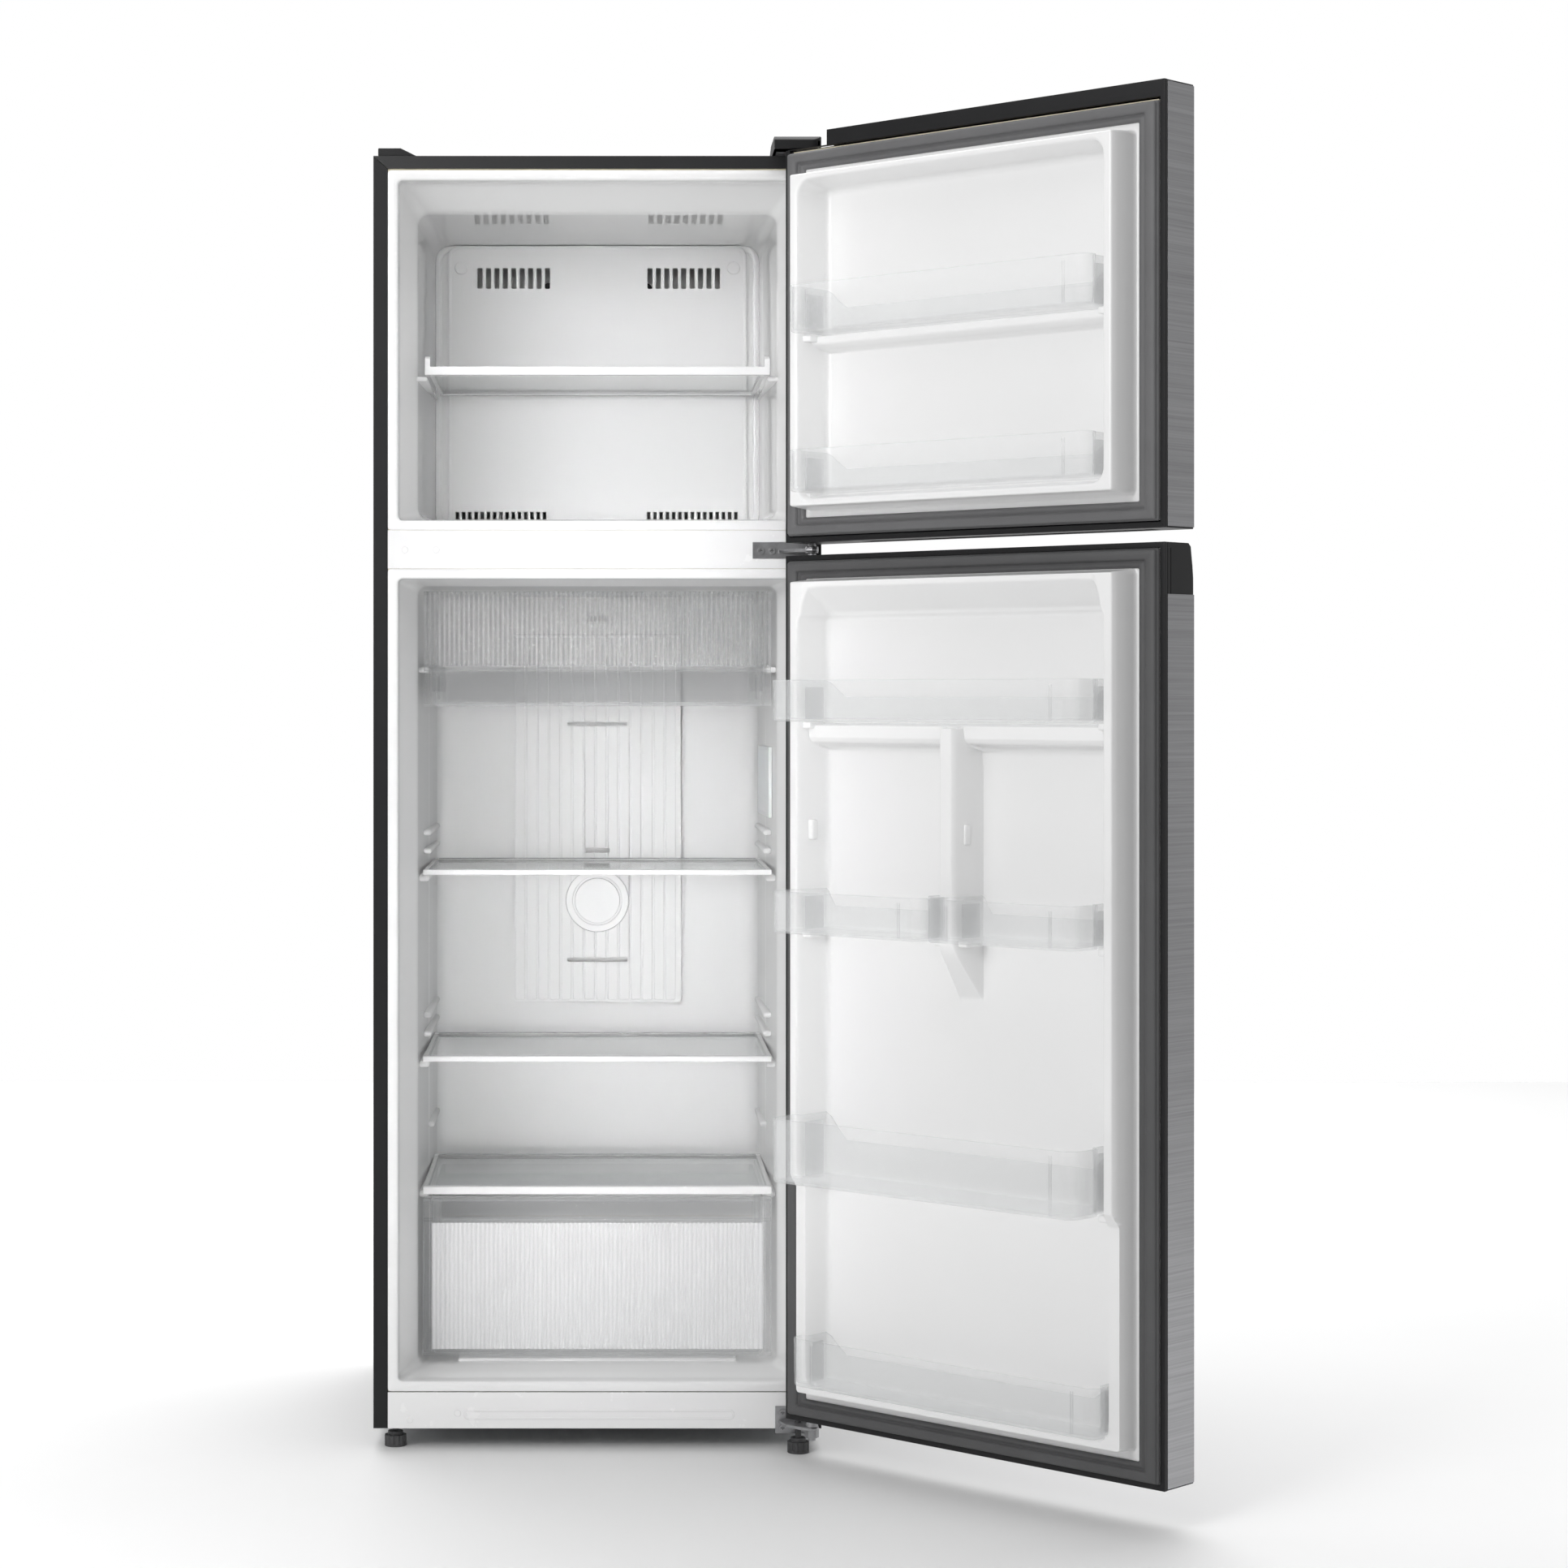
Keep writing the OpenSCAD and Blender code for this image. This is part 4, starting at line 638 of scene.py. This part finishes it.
# the freezer door's gasket takes the lighter copy of the vinyl, its painted light
gasket("fz_door_gasket_formed", "fz_door_gasket", FZD_Z0 + 1, FZD_Z1 - 18, M["gasket_light"])
gasket("fr_door_gasket_formed", "fr_door_gasket", FRD_Z0, FRD_Z1, M["gasket_rubber"])


# ------------------------------------------------------------------ door baskets
def basket(node, n0, n1, w0, w1, h, z0, z1, kink=49.0, r=18.5):
    na = 7

    def plan(g):
        """Back edge in nine steps, then round the front."""
        pts = []
        back = [0.0, 0.02, 0.045, 0.075, 0.3, 0.7, 0.925, 0.955, 0.98, 1.0]
        for t in reversed(back):
            pts.append((n0 + g + (n1 - n0 - 2 * g) * t, -3.6 + g, t))
        pts += [(n0 + g, kink - 12, None), (n0 + g * 0.98, kink - 1.5, None), (n0 + g * 0.9 - 1.2, kink + 1, None), (w0 + g + 0.4, kink + 4.4, None), (w0 + g, kink + 7, None)]
        for i in range(na + 1):
            t = math.radians(180 - 90.0 * i / na)
            pts.append((w0 + r + (r - g) * math.cos(t), h - r + (r - g) * math.sin(t), None))
        for i in range(na + 1):
            t = math.radians(90 - 90.0 * i / na)
            pts.append((w1 - r + (r - g) * math.cos(t), h - r + (r - g) * math.sin(t), None))
        pts += [(w1 - g, kink + 7, None), (w1 - g - 0.4, kink + 4.4, None), (n1 - g * 0.9 + 1.2, kink + 1, None), (n1 - g * 0.98, kink - 1.5, None), (n1 - g, kink - 12, None)]
        return pts

    def loop(g, z):
        out = []
        for a, hh, t in plan(g):
            f = 1.0
            if t is not None:
                f = 1.0 - 0.42 * min(1.0, max(0.0, (min(t, 1 - t) - 0.01) / 0.06))
            out.append(on_door((a, hh, z0 + (z - z0) * (f if z > z0 + 6 else 1.0))))
        return out

    H = z1 - z0
    rows = [(6.0, z0 + 0.05), (3.0, z0 + 0.3), (1.6, z0 + 1.2), (1.05, z0 + 3.0), (1.0, z0 + 6.5), (1.0, z0 + 0.24 * H), (0.6, z0 + 0.24 * H + 1.2), (0.6, z1 - 8.2), (0.35, z1 - 7.0),
            (0.05, z1 - 6.2), (0.0, z1 - 3.0), (0.05, z1 - 0.9), (0.5, z1 - 0.2), (1.3, z1 - 0.02), (2.5, z1 - 0.2), (3.1, z1 - 1.0), (3.2, z1 - 5.0), (2.9, z1 - 7.0),
            (3.0, z0 + 0.24 * H + 1.2), (3.4, z0 + 0.24 * H), (3.45, z0 + 7.5), (3.9, z0 + 4.6), (5.2, z0 + 3.2), (8.0, z0 + 2.6)]
    b = Build().loft([loop(g, z) for g, z in rows])
    # stiffening ribs on the inside of both ends
    for a0, a1 in ((n0 + 3.2, n0 + 5.4), (n1 - 5.4, n1 - 3.2)):
        b.rbox((a0, 8, z0 + 2.4), (a1, kink - 6, z1 - 9), 0.7, 2, on_door)
    for a in (w0 + 34, w0 + 37, w1 - 37, w1 - 34):
        b.rbox((a - 0.7, h - 3.6, z0 + 2.4), (a + 0.7, h - 2.2, z1 - 7), 0.5, 2, on_door)
    return stands_for(b.piece(node + "_moulded", M["clear_plastic"], 32), node)


basket("fz_basket_upper", 67, 528, 61, 534, 74, 1466.8, 1527)
basket("fz_basket_lower", 67, 528, 61, 534, 74, 1262.3, 1316)
basket("fr_basket_top", 67, 528, 58, 537, 104, 968.3, 1021)
basket("fr_basket_left", 67, 279, 58.5, 306.5, 104, 698.3, 752)
basket("fr_basket_right", 321, 528, 309.5, 537, 104, 698.3, 752)
basket("fr_basket_bottle", 67, 528, 58, 537, 104, 380.3, 462)
basket("fr_basket_bottom", 67, 528, 58, 537, 61, 114.3, 176, 34.0, 16.0)


# ------------------------------------------------------------------ drawers
def fluted(b, x0, x1, yf, yb, z0, z1, pitch, amp, plain=8.0):
    """A panel with fine rounded flutes on its front, plain at its edges."""
    xs = [x0, x0 + plain * 0.5, x0 + plain]
    n = int((x1 - x0 - 2 * plain) / pitch)
    p = (x1 - x0 - 2 * plain) / n
    for i in range(n):
        for k in (0.25, 0.5, 0.75, 1.0):
            xs.append(x0 + plain + (i + k) * p)
    xs += [x1 - plain * 0.5, x1]

    def y_at(x, f):
        if x <= x0 + plain or x >= x1 - plain:
            return yf
        return yf + amp * f * 0.5 * (1 - math.cos(2 * math.pi * (x - x0 - plain) / p))

    def loop(z, f, g):
        return [(min(max(x, x0 + g), x1 - g), y_at(x, f) + g, z) for x in xs] + [(min(max(x, x0 + g), x1 - g), yb - g, z) for x in reversed(xs)]

    b.loft([loop(z0, 0, 0.9), loop(z0 + 0.9, 0, 0), loop(z0 + 2.0, 0, 0), loop(z0 + 4.0, 1, 0), loop(z1 - 4.0, 1, 0), loop(z1 - 2.0, 0, 0), loop(z1 - 0.9, 0, 0), loop(z1, 0, 0.9)])


def tub(b, pts, x0, x1, t, r):
    """An open container drawn along X: its profile (y, z) runs from the front top round to the back top."""
    m = bmesh.new()
    L = [m.verts.new((x0, y, z)) for y, z in pts]
    R = [m.verts.new((x1, y, z)) for y, z in pts]
    for i in range(len(pts) - 1):
        m.faces.new((L[i], L[i + 1], R[i + 1], R[i]))
    m.faces.new(L)
    m.faces.new(list(reversed(R)))
    bmesh.ops.recalc_face_normals(m, faces=m.faces)
    es = [e for e in m.edges if len(e.link_faces) == 2 and e.calc_face_angle(0.0) > math.radians(20)]
    bmesh.ops.bevel(m, geom=es, offset=r, segments=4, profile=0.5, affect="EDGES", clamp_overlap=True)
    bmesh.ops.recalc_face_normals(m, faces=m.faces)
    c = Vector(((x0 + x1) / 2, sum(p[0] for p in pts) / len(pts), sum(p[1] for p in pts) / len(pts)))
    # the thickness goes inward
    f = max(m.faces, key=lambda f: f.calc_area())
    sign = 1.0 if (f.calc_center_median() - c).dot(f.normal) > 0 else -1.0
    bmesh.ops.solidify(m, geom=list(m.faces), thickness=sign * t)
    m.verts.index_update()
    b.faces([tuple(v.co) for v in m.verts], [tuple(v.index for v in f.verts) for f in m.faces])
    m.free()


def chiller():
    b = Build()
    tub(b, [(107.4, 1033.5), (107.4, 987.2), (439.6, 987.2), (439.6, 1043)], -223.8, 223.8, 2.4, 7)
    b.kind = 1
    fluted(b, -235.8, 235.8, 104.2, 107.9, 1041.5, 1142.8, 6.6, 1.9, 9.9)
    b.kind = 0
    # plain lower face, grip lip and top rail
    b.rbox((-235.8, 104.4, 987.2), (235.8, 107.6, 1036), 1.2)
    b.rbox((-235.8, 101.2, 1034.2), (235.8, 109.8, 1042), 2.2)
    b.rbox((-235.8, 104.2, 1139), (235.8, 113.6, 1142.9), 1.4)
    for s in (-1, 1):
        for lo, hi, r in (((222, 118, 1041.2), (234.8, 439.6, 1043.8), 1.0), ((221.6, 110, 1007), (224.8, 439.6, 1043.6), 1.0), ((228, 104.4, 990), (235.7, 111.8, 1139), 1.2),
                          ((214, 105, 996), (217, 108.6, 1030), 1.0)):
            l, h = sorted((s * lo[0], s * hi[0]))
            b.rbox((l, lo[1], lo[2]), (h, hi[1], hi[2]), r)
    return stands_for(b.piece("chiller_drawer_moulded", (M["clear_plastic"], M["clear_fluted"]), 32), "chiller_drawer")


def crisper():
    b = Build()
    tub(b, [(114.6, 319), (114.6, 102.3), (291, 102.3), (305.4, 297), (435.6, 303), (435.6, 319.5)], -225.6, 225.6, 2.6, 9)
    b.kind = 1
    fluted(b, -225, 225, 109.6, 112.6, 112, 284, 6.0, 1.2, 9)
    b.kind = 0
    b.rbox((-236.8, 110.4, 102.3), (236.8, 114.2, 319.6), 1.4)
    b.rbox((-236.8, 107.2, 286), (236.8, 111.4, 290.6), 1.4)
    b.rbox((-236.8, 104.2, 314.2), (236.8, 113.8, 319.8), 1.8)
    for s in (-1, 1):
        l, h = sorted((s * 226.4, s * 236.8))
        b.rbox((l, 108.6, 108), (h, 119.5, 315.6), 1.8)
    return stands_for(b.piece("crisper_drawer_moulded", (M["clear_plastic"], M["milky_fluted"]), 32), "crisper_drawer")


chiller()
crisper()

# ------------------------------------------------------------------ the other CAD pieces, edges rounded
SOFT = {
    "side_panels": 0.25, "top_panel": 0.25, "back_panel": 0.3, "bottom_pan": 0.3, "cabinet_foam": 0.0, "mullion_rail": 0.5, "bottom_rail": 0.5,
    "top_hinge": 0.5, "top_hinge_cover": 1.2, "blank_hinge_plug": 1.2, "middle_hinge": 0.6, "lower_hinge": 0.6, "hinge_screws": 0.3,
    "base_plate": 0.3, "roller_brackets": 0.4, "compressor": 0.8, "compressor_mounts": 0.6, "drip_tray": 0.6, "machine_cover": 0.3, "cord_inlet": 0.4,
    "evaporator": 0.0, "fan_motor": 0.6, "evaporator_cover": 0.7, "duct_cover": 0.7, "duct_cap": 1.0, "lamp_cover": 0.8, "fan_blade": 0.4,
    "foot_left": 0.6, "foot_right": 0.6, "roller_left": 0.6, "roller_right": 0.6,
    "freezer_shelf_glass": 0.5, "freezer_shelf_trim": 0.7, "upper_shelf_glass": 0.5, "upper_shelf_trim": 0.7, "middle_shelf_glass": 0.5, "middle_shelf_trim": 0.7,
    "crisper_cover_glass": 0.5, "crisper_cover_trim": 0.7,
    "fz_door_skin": 0.25, "fz_door_foam": 0.0, "fz_door_frame": 0.8, "fr_door_skin": 0.25, "fr_door_foam": 0.0, "fr_door_frame": 0.8,
}
RINGS = ("fz_door_frame", "fr_door_frame", "fan_motor", "machine_cover", "evaporator_cover", "duct_cover", "back_panel", "cabinet_foam", "fz_door_foam", "fr_door_foam")
def bead():
    """A rolled edge that closes the evaporator's cover against the liner, and the bead round its raised panel."""
    b = Build()
    for hw_, z0, z1, r, prof in ((233.9, 1241.2, 1653.2, 22.5, ((-0.4, 409.0), (1.2, 407.6), (4.5, 407.2), (7.5, 408.2), (8.6, 410.4), (-0.4, 410.6))),
                                 (214.6, FZ_Z0 + 8.8, FZ_Z1 - 35.2, 16, ((-1.6, 404.2), (-0.9, 402.6), (1.0, 401.9), (3.0, 402.4), (3.8, 404.0), (1.0, 405.5)))):
        b.loft([[(p[0], y, p[1]) for p in rr(-hw_ + g, hw_ - g, z0 + g, z1 - g, r - g * 0.6, 8)] for g, y in prof], ring=True)
    return b


def grip_edge():
    """The strip that closes the side of the recessed grip."""
    return Build().rbox((590.5, -12.6, 1120.5), (594.6, -5.4, 1177.6), 0.5, 2, on_door)


EXTRA = {"evaporator_cover": bead, "fr_door_frame": grip_edge}
# the duct cap takes the lighter copy of the white trim, its painted light
for node, width in SOFT.items():
    soften(node, width, merge=node not in RINGS, shrink=3.4 if "door_foam" in node else 0.6 if node == "cabinet_foam" else 0.0,
           extra=EXTRA[node]() if node in EXTRA else None, mat=M["lit_white_trim"] if node == "duct_cap" else None)

# ------------------------------------------------------------------ camera, light and floor
cam = bpy.data.cameras.new("camera")
cam.sensor_width = 36.0
cam.lens = 4175.0 / 1932.0 * 36.0
cam.shift_x = (966.0 - 736.0) / 1932.0
cam.shift_y = -(966.0 - 860.0) / 1932.0
cam.clip_end = 60
cam_ob = bpy.data.objects.new("camera", cam)
cam_ob.location = (0, -4.5, 0.998)
cam_ob.rotation_euler = (math.radians(90), 0, 0)
scene.collection.objects.link(cam_ob)
scene.camera = cam_ob

world = bpy.data.worlds.new("studio")
scene.world = world
world.use_nodes = True
wt = world.node_tree
sky = wt.nodes["Background"]
sky.inputs["Color"].default_value = (1, 1, 1, 1)
# soft room light, stronger from behind and from the right; the backdrop itself reads plain white
gen = wt.nodes.new("ShaderNodeTexCoord")


def side_light(direction, strength):
    dot = wt.nodes.new("ShaderNodeVectorMath")
    dot.operation = "DOT_PRODUCT"
    dot.inputs[1].default_value = direction
    wt.links.new(gen.outputs["Generated"], dot.inputs[0])
    half = wt.nodes.new("ShaderNodeMapRange")
    half.inputs["To Max"].default_value = strength
    wt.links.new(dot.outputs["Value"], half.inputs["Value"])
    return half.outputs["Result"]


room = wt.nodes.new("ShaderNodeMath")
room.inputs[1].default_value = 0.19
wt.links.new(side_light((1, 0, 0), 0.32), room.inputs[0])
both = wt.nodes.new("ShaderNodeMath")
wt.links.new(room.outputs[0], both.inputs[0])
wt.links.new(side_light((0, 1, 0), 0.43), both.inputs[1])
path = wt.nodes.new("ShaderNodeLightPath")
plain = wt.nodes.new("ShaderNodeMix")
plain.inputs["B"].default_value = 1.0
wt.links.new(path.outputs["Is Camera Ray"], plain.inputs["Factor"])
wt.links.new(both.outputs[0], plain.inputs["A"])
wt.links.new(plain.outputs["Result"], sky.inputs["Strength"])


def area(name, loc, target, size, power, size_y=None):
    l = bpy.data.lights.new(name, "AREA")
    l.energy = power
    l.size = size
    if size_y:
        l.shape = "RECTANGLE"
        l.size_y = size_y
    o = bpy.data.objects.new(name, l)
    o.location = loc
    o.rotation_euler = (Vector(target) - Vector(loc)).to_track_quat("-Z", "Y").to_euler()
    scene.collection.objects.link(o)
    return o


area("key", (-1.4, -2.7, 2.05), (0, 0.2, 1.1), 1.2, 34)
area("top", (-0.2, -1.6, 3.3), (0, 0.2, 1.0), 1.6, 12)
area("side", (-3.4, -2.3, 2.3), (0.4, -0.3, 1.2), 1.6, 18.5)
area("overhead", (0, -0.5, 4.6), (0, -0.5, 0), 8.0, 45)
area("backdrop", (0, 3.5, 4.5), (0, 2.5, 0), 6.0, 275)
# gridded soft boxes that light the depth of the two compartments
for name, z, high, power in (("upper_box", 1.46, 0.45, 0.32), ("middle_box", 0.74, 0.9, 0.80), ("lower_box", 0.30, 0.4, 0.16)):
    box = area(name, (0, -3.2, z), (0, 0.5, z), 0.5, power, high)
    box.data.spread = math.radians(14)
    box.visible_glossy = False

floor = bpy.data.meshes.new("floor")
floor.from_pydata([(-9, -7, 0), (9, -7, 0), (9, 4.3, 0), (-9, 4.3, 0)], [], [(0, 1, 2, 3)])
floor_ob = bpy.data.objects.new("floor", floor)
scene.collection.objects.link(floor_ob)
floor.materials.append(surface("pale_floor", (0.93, 0.93, 0.93), 0.6, var=0.006, scale=2.0, grain=120.0, bump_s=0.02))
scene.view_settings.view_transform = "Standard"
